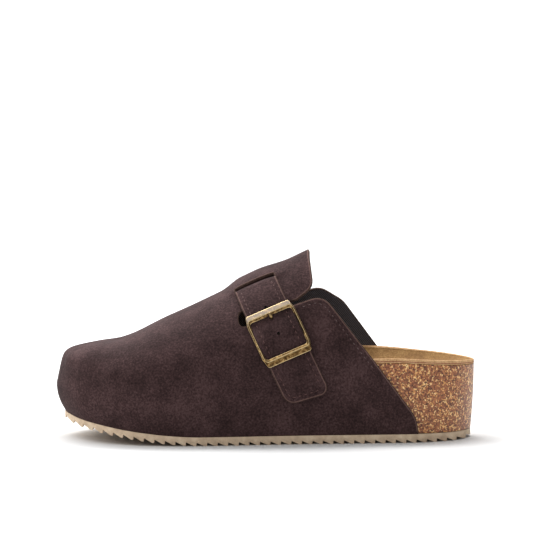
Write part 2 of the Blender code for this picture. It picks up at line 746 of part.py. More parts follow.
def build_frame(matrix):
    """The buckle's frame: bevelled bars round a window, with a notch for the pin and the hinge bar across."""
    middle_u = (WINDOW_HALF_LENGTH + FRAME_HALF_LENGTH) / 2 - 0.0008
    middle_w = (WINDOW_HALF_WIDTH + FRAME_MID_HALF_WIDTH) / 2
    inner = frame_loop(WINDOW_HALF_LENGTH, WINDOW_HALF_WIDTH, WINDOW_HALF_LENGTH - 0.004, WINDOW_HALF_WIDTH, 0.0015)
    ridge = frame_loop(middle_u, middle_w - 0.0004, FRAME_MID_HALF_LENGTH - 0.001, middle_w, 0.0018)
    outer = frame_loop(FRAME_HALF_LENGTH, FRAME_HALF_WIDTH, FRAME_MID_HALF_LENGTH, FRAME_MID_HALF_WIDTH, 0.0010)
    layers = (
        (inner, 0.0),
        (inner, FRAME_HEIGHT * 0.55),
        (ridge, FRAME_HEIGHT),
        (outer, FRAME_HEIGHT * 0.45),
        (outer, 0.0),
    )
    count = len(inner)
    points = [matrix @ Vector((u, w, frame_height(u) + lift)) for loop, lift in layers for u, w in loop]
    faces = []
    for r in range(len(layers)):
        s = (r + 1) % len(layers)
        for c in range(count):
            d = (c + 1) % count
            faces.append((r * count + c, r * count + d, s * count + d, s * count + c))
    frame = add_object("buckle_frame", mesh_from("buckle_frame", points, faces), ANTIQUE_BRASS)
    bar = cylinder("hinge_bar", BAR_RADIUS, 2 * (FRAME_MID_HALF_WIDTH - 0.0010), 10)
    bar.matrix_world = matrix @ Matrix.Translation((0, 0, BAR_HEIGHT)) @ Matrix.Rotation(math.pi / 2, 4, "X")
    boolean(frame, bar, "UNION")
    notch = cylinder("pin_notch", NOTCH_RADIUS, 0.010, 14)
    notch.matrix_world = matrix @ Matrix.Translation((NOTCH_U, 0, FRAME_BASE)) @ Matrix.Rotation(0.1, 4, "Z")
    boolean(frame, notch)
    return frame


def cylinder(name, radius, depth, sides):
    """A capped cylinder along its own Z, as a cutter."""
    mesh = bpy.data.meshes.new(name)
    bm = bmesh.new()
    bmesh.ops.create_cone(
        bm, cap_ends=True, cap_tris=False, segments=sides, radius1=radius, radius2=radius, depth=depth
    )
    bm.to_mesh(mesh)
    bm.free()
    return add_cutter(name, mesh)


def build_prong(matrix):
    """The buckle's pin: from the hinge bar, under the strap, up through its hole and into the frame's notch."""
    start_u = -(BAR_RADIUS + GAP + PRONG_RADIUS)
    route = (
        (start_u, BAR_HEIGHT),
        (-0.0040, 0.0016),
        (-0.0064, 0.0010),
        (-0.0082, 0.0014),
        (-0.0094, 0.0028),
        (-0.0109, 0.0043),
        (-0.0130, 0.0048),
    )
    curve = bpy.data.curves.new("buckle_prong", "CURVE")
    curve.dimensions = "3D"
    curve.bevel_depth = PRONG_RADIUS
    curve.bevel_resolution = 2
    curve.use_fill_caps = True
    curve.materials.append(material(ANTIQUE_BRASS))
    line = curve.splines.new("POLY")
    u_of = smooth_curve(np.arange(len(route)), [r[0] for r in route])
    n_of = smooth_curve(np.arange(len(route)), [r[1] for r in route])
    places = np.linspace(0, len(route) - 1, 16)
    line.points.add(len(places) - 1)
    for point, t in zip(line.points, places):
        at = matrix @ Vector((float(u_of(t)), 0.0, float(n_of(t))))
        point.co = (*at, 1.0)
    obj = bpy.data.objects.new("buckle_prong", curve)
    bpy.data.collections["clog"].objects.link(obj)
    return obj


def punch_strap(strap, surface):
    """Cuts the strap's row of pin holes: the one that the pin is in, and one each side of it."""
    for i, step in enumerate((-1, 0, 1, 2)):
        arc = BUCKLE_AT + PRONG_HOLE_U + step * HOLE_PITCH
        centre = surface.point(STRAP_CENTRE, arc, strap_height(arc))
        beyond = surface.point(STRAP_CENTRE, arc, strap_height(arc) + 0.005)
        out = Vector(beyond - centre).normalized()
        punch = cylinder(f"punch_{i}", PRONG_HOLE_RADIUS if step == 0 else HOLE_RADIUS, 0.004, 12)
        turn = Vector((0, 0, 1)).rotation_difference(out)
        punch.matrix_world = Matrix.Translation(Vector(centre)) @ turn.to_matrix().to_4x4()
        boolean(strap, punch)


def build_upper(mesh, surface):
    """The hollow upper: its wall, with the top line and the strap's slit cut out."""
    upper = add_object("upper", mesh, SUEDE)
    solid = upper.modifiers.new("wall", "SOLIDIFY")
    solid.thickness = WALL
    solid.offset = -1.0
    solid.use_even_offset = True
    for name, topline, y_low, y_high in (
        ("lateral_topline", LATERAL_TOPLINE, -0.09, SPINE_Y + 0.001),
        ("medial_topline", MEDIAL_TOPLINE, SPINE_Y - 0.001, 0.09),
    ):
        outline = rounded_corners(topline)
        outline += [(BEHIND_X, topline[-1].z), (BEHIND_X, topline[0].z)]
        boolean(upper, add_cutter(name, side_prism(name, outline, y_low, y_high)))
    boolean(upper, slit_cutter(surface))
    return upper


def slit_cutter(surface):
    """A box through the flap's wall where the strap comes out."""
    half = STRAP_WIDTH / 2 + SLIT_SIDE
    lip = surface.point(STRAP_CENTRE, SLIT_LIP, 0.0)
    low = surface.point(STRAP_CENTRE, SLIT_LIP + SLIT_LENGTH, 0.0)
    down = Vector(low - lip)
    w = Vector(STRAP_ALONG)
    n = w.cross(down).normalized()
    if n.y > 0:
        n = -n
    mesh = bpy.data.meshes.new("strap_slit")
    bm = bmesh.new()
    bmesh.ops.create_cube(bm, size=1.0)
    bm.to_mesh(mesh)
    bm.free()
    box = add_cutter("strap_slit", mesh)
    u = down.normalized()
    middle = Vector((lip + low) / 2)
    box.matrix_world = Matrix(
        (
            (u.x * down.length, w.x * 2 * half, n.x * 0.014, middle.x),
            (u.y * down.length, w.y * 2 * half, n.y * 0.014, middle.y),
            (u.z * down.length, w.z * 2 * half, n.z * 0.014, middle.z),
            (0, 0, 0, 1),
        )
    )
    return box


def shade(obj):
    """Smooth shading with the real edges kept sharp."""
    if obj.type == "MESH":
        obj.data.shade_smooth()
        obj.data.set_sharp_from_angle(angle=math.radians(35))


def main():
    """Clears the scene and builds the shoe."""
    for obj in list(bpy.data.objects):
        bpy.data.objects.remove(obj, do_unlink=True)
    for name in ("clog", "cutters"):
        made = bpy.data.collections.new(name)
        bpy.context.scene.collection.children.link(made)
    loop = columns(SIDE_COLUMNS, TOE_COLUMNS, HEEL_COLUMNS)
    build_outsole()
    build_midsole(loop)
    build_insole(loop)
    surface_mesh = upper_surface()
    surface = StrapSurface(surface_mesh)
    build_upper(surface_mesh, surface)
    strap = build_strap(surface)
    matrix = buckle_matrix(surface)
    build_frame(matrix)
    build_prong(matrix)
    punch_strap(strap, surface)
    for obj in bpy.data.collections["clog"].objects:
        shade(obj)


main()
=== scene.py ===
"""A platform clog slipper, left shoe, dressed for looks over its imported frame.

Metres, +Z up. The toe points along -X and the outer (lateral) side of the foot along -Y.
Every curved piece follows one last, so that the suede, cork and footbed meet as they do on the real shoe.
"""

import logging
import math
from contextlib import contextmanager
from dataclasses import dataclass
from enum import Enum
from functools import cached_property
from typing import Callable, Iterator, Sequence

import bmesh
import bpy
import numpy as np
from bpy.types import Material, Mesh, Node, NodeSocket, NodeTree, Object
from mathutils import Matrix, Vector
from mathutils.bvhtree import BVHTree
from mathutils.kdtree import KDTree


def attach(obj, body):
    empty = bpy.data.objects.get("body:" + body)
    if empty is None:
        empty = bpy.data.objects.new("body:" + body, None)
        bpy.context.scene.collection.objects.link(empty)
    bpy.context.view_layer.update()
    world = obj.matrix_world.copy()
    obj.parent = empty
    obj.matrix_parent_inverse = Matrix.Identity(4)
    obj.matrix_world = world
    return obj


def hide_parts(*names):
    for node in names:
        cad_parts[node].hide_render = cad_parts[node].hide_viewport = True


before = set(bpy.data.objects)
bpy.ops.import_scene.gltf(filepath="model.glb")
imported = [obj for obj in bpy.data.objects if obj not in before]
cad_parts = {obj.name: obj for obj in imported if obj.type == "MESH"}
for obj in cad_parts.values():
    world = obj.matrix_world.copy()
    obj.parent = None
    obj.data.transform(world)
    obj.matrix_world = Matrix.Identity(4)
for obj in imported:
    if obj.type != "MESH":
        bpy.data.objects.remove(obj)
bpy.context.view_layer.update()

LOG = logging.getLogger("clog")
# Room left between pieces that touch, and between those that curve over each other.
GAP = 0.0003
CURVED_GAP = 0.0006
# Thickness of the upper's suede, and of the footbed's layer.
WALL = 0.0022
INSOLE = 0.0026
# The footbed's rings, as shares of the way from its edge to the middle of the shoe.
BED_RINGS = (0.03, 0.06, 0.1, 0.15, 0.2, 0.28, 0.38, 0.5, 0.65, 0.8, 1.0)
# Points closer together than this are one.
WELD = 1e-6
# The greatest distance from a leather edge that is told.
FAR = 0.020
# A mesh's faces, each the numbers of its corners.
Faces = Sequence[tuple[int, ...]]
# Kinds of node that come up often.
NOISE = "ShaderNodeTexNoise"
RAMP = "ShaderNodeValToRGB"
MIX = "ShaderNodeMix"


class Side(Enum):
    """The two sides of the foot."""

    LATERAL = "lateral"
    MEDIAL = "medial"


class Face(Enum):
    """Material slots of a leather piece: its outside, cut edge, inside and the walls of its holes."""

    OUTSIDE = 0
    CUT_EDGE = 1
    INSIDE = 2
    HOLE_WALL = 3


@dataclass(frozen=True)
class Width:
    """Half widths of the shoe at one place along it."""

    x: float
    lateral: float
    medial: float


@dataclass(frozen=True)
class Section:
    """One cross section of the last.

    wide is the height of the fullest line and flare how far the wall bulges out there. A corner of 0.5 is an
    ellipse and less is squarer, and lean says how far the wall leans in. bed, rim_lateral and rim_medial are
    heights of the footbed's middle and of its two edges.
    """

    x: float
    wide: float
    flare: float
    corner: float
    lean: float
    bed: float
    rim_lateral: float
    rim_medial: float


@dataclass(frozen=True)
class Corner:
    """A corner of a line seen from the side, with the radius that rounds it."""

    x: float
    z: float
    radius: float


@dataclass(frozen=True)
class Crease:
    """A soft fold or swelling of the suede along a line, where depth above zero sinks the surface."""

    start: tuple[float, float, float]
    end: tuple[float, float, float]
    width: float
    depth: float


def linear(code: str) -> tuple[float, float, float, float]:
    """Turns an sRGB hex colour into the linear colour that a shader takes.

    Args:
        code: Six hex digits, with or without a leading mark.

    Returns:
        Red, green, blue and alpha.
    """
    text = code.lstrip("#")
    channels = [int(text[i : i + 2], 16) / 255 for i in (0, 2, 4)]
    red, green, blue = [c / 12.92 if c <= 0.04045 else ((c + 0.055) / 1.055) ** 2.4 for c in channels]
    return (red, green, blue, 1.0)


def per_metre(size_mm: float) -> float:
    """The scale that makes a texture's features a size in millimetres."""
    return 1000.0 / size_mm


def sized(place: NodeSocket, size_mm: float, detail: float, roughness: float = 0.5) -> dict:
    """Inputs of a cloudy pattern: its coordinates, the size of its largest features and its finer ones."""
    return {"Vector": place, "Scale": per_metre(size_mm), "Detail": detail, "Roughness": roughness}


def ease(t: float | np.ndarray) -> float | np.ndarray:
    """A smooth step from 0 to 1."""
    t = np.clip(t, 0.0, 1.0)
    return t * t * (3 - 2 * t)


def connect(tree: NodeTree, node: Node, links: dict) -> None:
    """Links or sets a node's inputs.

    Args:
        tree: The tree it is in.
        node: The node.
        links: By input name or number, either the output that feeds it or its fixed value.
    """
    for socket, source in links.items():
        if isinstance(source, NodeSocket):
            tree.links.new(source, node.inputs[socket])
        else:
            node.inputs[socket].default_value = source


def add_node(tree: NodeTree, kind: str, settings: dict | None = None, links: dict | None = None) -> Node:
    """Adds one node to a tree.

    Args:
        tree: The tree it goes into.
        kind: The node's type.
        settings: Properties of the node by name.
        links: By input name or number, either the output that feeds it or its fixed value.

    Returns:
        The new node.
    """
    node = tree.nodes.new(kind)
    for name, value in (settings or {}).items():
        setattr(node, name, value)
    connect(tree, node, links or {})
    return node


def coloured(ramp: Node, stops: Sequence[tuple[float, str]]) -> NodeSocket:
    """Gives a colour ramp its stops.

    Args:
        ramp: The ramp's node.
        stops: Positions with their hex colours.

    Returns:
        The ramp's colour output.
    """
    elements = ramp.color_ramp.elements
    while len(elements) < len(stops):
        elements.new(0.5)
    for element, (position, code) in zip(elements, stops):
        element.position = position
        element.color = linear(code)
    return ramp.outputs["Color"]


def blank_material(name: str) -> tuple[Material, NodeTree, NodeSocket]:
    """Makes a material that holds one Principled shader.

    Args:
        name: The material's name.

    Returns:
        The material, its tree and the output that gives the piece's own coordinates.
    """
    made = bpy.data.materials.new(name)
    made.use_nodes = True
    return made, made.node_tree, add_node(made.node_tree, "ShaderNodeTexCoord").outputs["Object"]


def shaded(
    made: Material,
    values: dict,
    height: NodeSocket | None = None,
    depth_mm: float = 0.0,
    strength: float = 1.0,
) -> Material:
    """Sets or links inputs of a material's shader, and its relief.

    Args:
        made: The material.
        values: By input name, either a fixed value or the output that feeds it.
        height: The pattern that stands in relief, if any.
        depth_mm: How deep the relief is.
        strength: The share of it that the light shows.

    Returns:
        The same material.
    """
    tree = made.node_tree
    shader = tree.nodes["Principled BSDF"]
    connect(tree, shader, values)
    if height is not None:
        relief = {"Height": height, "Distance": depth_mm / 1000, "Strength": strength}
        connect(tree, shader, {"Normal": add_node(tree, "ShaderNodeBump", links=relief).outputs["Normal"]})
    return made


@dataclass(frozen=True)
class NappedSuede:
    """Split leather brushed to a nap: matt, with cloudy patches where the nap lies differently."""

    name: str
    dark: str
    base: str
    light: str
    patch_mm: float = 16.0
    nap_mm: float = 1.2
    roughness: float = 0.92
    nap_share: float = 0.62
    sheen: float = 0.04
    bump_mm: float = 0.16
    rubbed: str = ""
    rubbed_mm: float = 0.42
    rubbed_fade_mm: float = 0.50
    rubbed_share: float = 0.60

    def material(self) -> Material:
        """Makes the material, with patches, a fine nap and a faint sheen.

        Returns:
            The material.
        """
        # The nap scatters light, so the eye sees no gloss, only soft clouds where it lies differently.
        # Real nap is about 0.2 mm. It is drawn at 1.2 mm, because a pixel of the render is 0.6 mm wide.
        made, tree, place = blank_material(self.name)
        patches = add_node(tree, NOISE, links=sized(place, self.patch_mm, 4.0, 0.55)).outputs["Fac"]
        nap = add_node(tree, NOISE, links=sized(place, self.nap_mm, 3.0, 0.7)).outputs["Fac"]
        shares = {"Factor": self.nap_share, "A": patches, "B": nap}
        mixed = add_node(tree, MIX, {"data_type": "FLOAT"}, shares).outputs["Result"]
        ramp = add_node(tree, RAMP, links={0: mixed})
        colour = coloured(ramp, ((0.36, self.dark), (0.50, self.base), (0.66, self.light)))
        if self.rubbed:
            colour = self.with_rubbed_edge(tree, colour, nap)
        values = {
            "Base Color": colour,
            "Roughness": self.roughness,
            "Specular IOR Level": 0.15,
            "Sheen Weight": self.sheen,
            "Sheen Roughness": 0.55,
            "Sheen Tint": linear(self.light),
        }
        return shaded(made, values, nap, self.bump_mm, 0.8)

    def with_rubbed_edge(self, tree: NodeTree, colour: NodeSocket, nap: NodeSocket) -> NodeSocket:
        """Lightens the suede where its cut edge is rubbed.

        Args:
            tree: The material's tree.
            colour: The suede's colour.
            nap: The nap's height, which breaks the line up.

        Returns:
            The colour with its light edge.
        """
        away = add_node(tree, "ShaderNodeAttribute", {"attribute_name": "edge_mm"}).outputs["Fac"]
        ragged = add_node(tree, "ShaderNodeMath", {"operation": "MULTIPLY_ADD"}, {0: nap, 1: -0.5, 2: away})
        fade = {
            "Value": ragged.outputs[0],
            "From Min": self.rubbed_mm - self.rubbed_fade_mm,
            "From Max": self.rubbed_mm,
            "To Min": self.rubbed_share,
            "To Max": 0.0,
        }
        share = add_node(tree, "ShaderNodeMapRange", links=fade).outputs["Result"]
        tones = {"Factor": share, 6: colour, 7: linear(self.rubbed)}
        return add_node(tree, MIX, {"data_type": "RGBA"}, tones).outputs[2]


@dataclass(frozen=True)
class TwillLining:
    """Cotton and wool twill glued inside the suede: dark grey with fine slanted ribs."""

    name: str = "dark_grey_twill_lining"
    dark: str = "#37363a"
    light: str = "#5c5a5f"
    rib_mm: float = 1.0
    slant: float = math.radians(40)

    def material(self) -> Material:
        """Makes the material, with slanted ribs.

        Returns:
            The material.
        """
        # Twill reads as flat dark grey with faint slanted ribs.
        # They are woven at 0.5 mm, and drawn at 1 mm so that they show.
        made, tree, place = blank_material(self.name)
        turn = {"Vector": place, "Rotation": (0.0, self.slant, 0.0)}
        turned = add_node(tree, "ShaderNodeMapping", links=turn)
        ribs = add_node(
            tree,
            "ShaderNodeTexWave",
            {"wave_type": "BANDS", "bands_direction": "X"},
            {
                "Vector": turned.outputs["Vector"],
                "Scale": per_metre(self.rib_mm) * math.pi / 10,
                "Distortion": 1.2,
                "Detail": 2.0,
            },
        ).outputs["Fac"]
        ramp = add_node(tree, RAMP, links={0: ribs})
        colour = coloured(ramp, ((0.15, self.dark), (0.85, self.light)))
        values = {"Base Color": colour, "Roughness": 0.95, "Specular IOR Level": 0.2}
        return shaded(made, values, ribs, 0.15)


@dataclass(frozen=True)
class GranulatedCork:
    """Cork granules bound with latex and sealed: pale and dark crumbs under a thin clear gloss."""

    name: str = "sealed_granulated_cork"
    grain_mm: float = 0.85
    crumb_mm: float = 0.9
    warp_mm: float = 2.2
    granules: tuple[tuple[float, str], ...] = (
        (0.00, "#522c1b"),
        (0.18, "#7d482c"),
        (0.46, "#9c5a37"),
        (0.68, "#b06d42"),
        (0.82, "#d89b57"),
        (1.00, "#ffda98"),
    )
    specks: tuple[tuple[float, str], ...] = ((0.33, "#604a3f"), (0.46, "#ffffff"))

    def material(self) -> Material:
        """Makes the material, with one colour a granule, dark specks between them and a clear seal.

        Returns:
            The material.
        """
        # Pressed cork reads as speckled brown with pale crumbs, and the clear seal adds a soft shine.
        # Its fine granules are about 0.5 mm. They are drawn at 0.85 mm, so that each fills a pixel.
        made, tree, place = blank_material(self.name)
        warp = add_node(tree, NOISE, links=sized(place, self.warp_mm, 2.0)).outputs["Color"]
        shares = {"Factor": 0.0016, 4: place, 5: warp}
        moved = add_node(tree, MIX, {"data_type": "VECTOR"}, shares)
        cells = {"Vector": moved.outputs[1], "Scale": per_metre(self.grain_mm), "Randomness": 1.0}
        granules = add_node(tree, "ShaderNodeTexVoronoi", {"feature": "F1"}, cells)
        split = add_node(tree, "ShaderNodeSeparateColor", links={"Color": granules.outputs["Color"]})
        ramp = add_node(tree, RAMP, links={0: split.outputs["Red"]})
        colour = coloured(ramp, self.granules)
        crumbs = add_node(tree, NOISE, links=sized(place, self.crumb_mm, 3.0, 0.7)).outputs["Fac"]
        shade = coloured(add_node(tree, RAMP, links={0: crumbs}), self.specks)
        kind = {"data_type": "RGBA", "blend_type": "MULTIPLY"}
        tinted = add_node(tree, MIX, kind, {"Factor": 0.85, 6: colour, 7: shade})
        values = {
            "Base Color": tinted.outputs[2],
            "Roughness": 0.55,
            "Specular IOR Level": 0.4,
            "Coat Weight": 0.35,
            "Coat Roughness": 0.28,
        }
        return shaded(made, values, crumbs, 0.12, 0.6)


@dataclass(frozen=True)
class SoleFoam:
    """Expanded rubber foam, moulded: matt tan with faint clouding."""

    name: str = "tan_sole_foam"
    cloud_mm: float = 5.0
    grain_mm: float = 0.6
    clouding: tuple[tuple[float, str], ...] = ((0.32, "#b8a188"), (0.50, "#cab398"), (0.70, "#dac6ab"))

    def material(self) -> Material:
        """Makes the material, with faint clouding and a fine moulded grain.

        Returns:
            The material.
        """
        # Moulded foam reads as matt tan with faint clouds.
        # Its skin has a grain of 0.1 mm, drawn at 0.6 mm so that it shows.
        made, tree, place = blank_material(self.name)
        clouds = add_node(tree, NOISE, links=sized(place, self.cloud_mm, 4.0, 0.6)).outputs["Fac"]
        grain = add_node(tree, NOISE, links=sized(place, self.grain_mm, 2.0)).outputs["Fac"]
        colour = coloured(add_node(tree, RAMP, links={0: clouds}), self.clouding)
        values = {"Base Color": colour, "Roughness": 0.78, "Specular IOR Level": 0.35}
        return shaded(made, values, grain, 0.06)


@dataclass(frozen=True)
class AntiqueBrass:
    """Cast brass, brushed and patinated: warm gold on the rubbed facets, dark in the hollows."""

    name: str = "brushed_antique_brass"
    bright: str = "#e4cb98"
    pale: str = "#a79d92"
    brush_mm: float = 0.8
    brush_stretch: tuple[float, float, float] = (3.0, 3.0, 0.35)
    patina_mm: float = 2.2
    patina: tuple[tuple[float, str], ...] = ((0.32, "#2e2216"), (0.50, "#6f5432"), (0.68, "#c3a06a"))

    def material(self) -> Material:
        """Makes the material, with brush lines along the buckle and a cloudy patina.

        Returns:
            The material.
        """
        # Warm gold on rubbed edges, brown patina in hollows, and a painted reflection of the light on the
        # upper bar.
        # Brush lines are about 0.1 mm apart. They are drawn 0.27 mm wide and 2.3 mm long to show.
        made, tree, place = blank_material(self.name)
        stretch = {"Vector": place, "Scale": self.brush_stretch}
        along = add_node(tree, "ShaderNodeMapping", links=stretch).outputs["Vector"]
        brushed = add_node(tree, NOISE, links=sized(along, self.brush_mm, 3.0, 0.7)).outputs["Fac"]
        clouds = add_node(tree, NOISE, links=sized(place, self.patina_mm, 4.0, 0.65)).outputs["Fac"]
        colour = coloured(add_node(tree, RAMP, links={0: clouds}), self.patina)
        # The second tone is a painted reflection: a pale, greyer tone on the upper bar's upward facet.
        for attribute, tone in (("worn", self.bright), ("painted_reflection", self.pale)):
            share = add_node(tree, "ShaderNodeAttribute", {"attribute_name": attribute}).outputs["Fac"]
            tones = {"Factor": share, 6: colour, 7: linear(tone)}
            colour = add_node(tree, MIX, {"data_type": "RGBA"}, tones).outputs[2]
        gloss = {"Value": brushed, "To Min": 0.28, "To Max": 0.55}
        rough = add_node(tree, "ShaderNodeMapRange", links=gloss).outputs["Result"]
        return shaded(made, {"Base Color": colour, "Metallic": 1.0, "Roughness": rough}, brushed, 0.03, 0.7)


@dataclass(frozen=True)
class Thread:
    """Waxed thread: a soft satin line with a fine twist."""

    name: str
    colour: str
    twist_mm: float = 0.5

    def material(self) -> Material:
        """Makes the material, with a fine twist drawn by a bump.

        Returns:
            The material.
        """
        # Waxed thread reads as small satin beads. Its twist is about 0.3 mm, drawn at 0.5 mm to show.
        made, tree, place = blank_material(self.name)
        twist = add_node(tree, NOISE, links=sized(place, self.twist_mm, 1.0)).outputs["Fac"]
        return shaded(made, {"Base Color": linear(self.colour), "Roughness": 0.7}, twist, 0.1)


class SmoothCurve:
    """A cubic curve through a table's points, with straight ends beyond them."""

    def __init__(self, xs: Sequence[float], ys: Sequence[float]) -> None:
        """Sorts the points and takes each slope from its neighbours.

        Args:
            xs: Places of the points.
            ys: Values there.
        """
        order = np.argsort(xs)
        self.xs = np.asarray(xs, float)[order]
        self.ys = np.asarray(ys, float)[order]
        self.slopes = np.gradient(self.ys, self.xs)

    def __call__(self, x: float | np.ndarray) -> np.ndarray:
        """The curve's value.

        Args:
            x: One place or many.

        Returns:
            The value at each place.
        """
        x = np.asarray(x, float)
        xs, ys, slopes = self.xs, self.ys, self.slopes
        inside = np.clip(x, xs[0], xs[-1])
        i = np.clip(np.searchsorted(xs, inside) - 1, 0, len(xs) - 2)
        step = xs[i + 1] - xs[i]
        t = (inside - xs[i]) / step
        curve = (
            ys[i] * (1 + 2 * t) * (1 - t) ** 2
            + slopes[i] * step * t * (1 - t) ** 2
            + ys[i + 1] * t * t * (3 - 2 * t)
            + slopes[i + 1] * step * t * t * (t - 1)
        )
        return curve + (x - inside) * np.where(x < xs[0], slopes[0], slopes[-1])


def rounded_corners(corners: Sequence[Corner], steps: int = 12) -> np.ndarray:
    """Rounds the corners of an open line seen from the side.

    Args:
        corners: The line's corners, with their radii.
        steps: Points put into each rounding.

    Returns:
        The rounded line's points, one row each.
    """
    points: list[tuple[float, float]] = []
    for i, corner in enumerate(corners):
        here = Vector((corner.x, corner.z))
        if corner.radius == 0 or i in (0, len(corners) - 1):
            points.append(tuple(here))
            continue
        back = Vector((corners[i - 1].x, corners[i - 1].z)) - here
        ahead = Vector((corners[i + 1].x, corners[i + 1].z)) - here
        half = back.angle(ahead) / 2
        reach = min(corner.radius / math.tan(half), 0.49 * back.length, 0.49 * ahead.length)
        start = here + back.normalized() * reach
        end = here + ahead.normalized() * reach
        for t in np.linspace(0, 1, steps + 1):
            points.append(tuple(start * (1 - t) ** 2 + here * 2 * t * (1 - t) + end * t * t))
    return np.array(points)


def arc_lengths(points: np.ndarray) -> np.ndarray:
    """Each point's distance along the line."""
    return np.concatenate([[0], np.cumsum(np.linalg.norm(np.diff(points, axis=0), axis=1))])


def distance_to_outline(outline: np.ndarray, places: np.ndarray) -> np.ndarray:
    """Distance from a closed outline, above zero outside it.

    Args:
        outline: The outline's corners, one row each.
        places: The places to measure from, one row each.

    Returns:
        One distance a place.
    """
    nearest = np.full(len(places), 1e9)
    inside = np.zeros(len(places), bool)
    for a, b in zip(outline, np.roll(outline, -1, axis=0)):
        side = b - a
        length = max(float(side @ side), 1e-18)
        share = np.clip(((places - a) @ side) / length, 0.0, 1.0)
        nearest = np.minimum(nearest, np.linalg.norm(places - a - share[:, None] * side, axis=1))
        crosses = (a[1] > places[:, 1]) != (b[1] > places[:, 1])
        if abs(side[1]) > 1e-12:
            at = a[0] + (places[:, 1] - a[1]) * side[0] / side[1]
            inside ^= crosses & (places[:, 0] < at)
    return np.where(inside, -nearest, nearest)


class Column:
    """One upright section of the shoe: where its wall starts in plan, and the spine point it leans to."""

    def __init__(self, last: "Last", index: float, spine_x: float, fan: bool) -> None:
        """Finds the column's foot on the plan outline.

        Args:
            last: The last it belongs to.
            index: Its place along the plan outline.
            spine_x: Where its line to the middle of the shoe ends.
            fan: True for a column that runs to a pole at the toe or heel.
        """
        i = int(math.floor(index)) % len(last.plan)
        j = (i + 1) % len(last.plan)
        share = index - math.floor(index)
        self.last = last
        self.base = last.plan[i] * (1 - share) + last.plan[j] * share
        out = last.plan_normals[i] * (1 - share) + last.plan_normals[j] * share
        self.out = out / np.linalg.norm(out)
        self.spine_x = spine_x
        self.fan = fan
        self.x = float(self.base[0])

    def top_x(self) -> float:
        """Where along the ridge the upper's section ends."""
        return self.last.toe_pole_x + self.last.section_lean * max(self.spine_x - self.last.toe_pole_x, 0.0)

    def rim(self) -> float:
        """Height of the footbed's edge, which passes smoothly from one side to the other at the ends.

        Returns:
            The height at this column.
        """
        share = 0.5 + 0.5 * math.sin(math.pi / 2 * np.clip(self.base[1] / 0.020, -1, 1))
        lateral = float(self.last.curves["rim_lateral"](self.x))
        medial = float(self.last.curves["rim_medial"](self.x))
        return lateral * (1 - share) + medial * share

    def wall(self, z: float, inset: float = 0.0) -> np.ndarray:
        """A point of the wall.

        Args:
            z: Its height.
            inset: How far it lies inside the upper's outside, measured square to the wall.

        Returns:
            The point.
        """
        last = self.last
        foot = float(last.sole_top(self.x))
        height = float(last.curves["wide"](self.x)) - foot
        flare = float(last.curves["flare"](self.x))
        left = 1 - np.clip((z - foot) / height, 0.0, 1.0)
        slope = flare * last.wall_fullness * left ** (last.wall_fullness - 1) / height
        out = flare * (1 - left**last.wall_fullness) - inset * math.hypot(1.0, slope)
        x, y = self.base + self.out * out
        return np.array([x, y, z])

    def footbed(self, share: float, inset: float, drop: float) -> np.ndarray:
        """A point of the footbed.

        Args:
            share: How far it lies from the edge towards the middle of the shoe, from 0 to 1.
            inset: How far the footbed's edge lies inside the upper's outside.
            drop: How far below the footbed's surface the point lies.

        Returns:
            The point.
        """
        last = self.last
        bed = float(last.curves["bed"](self.x + (self.spine_x - self.x) * share))
        z = bed + (self.rim() - bed) * (1 - share) ** last.cup
        edge = self.wall(z - drop, inset)
        point = edge + (np.array([self.spine_x, last.spine_y, 0.0]) - edge) * share
        point[2] = z - drop
        return point


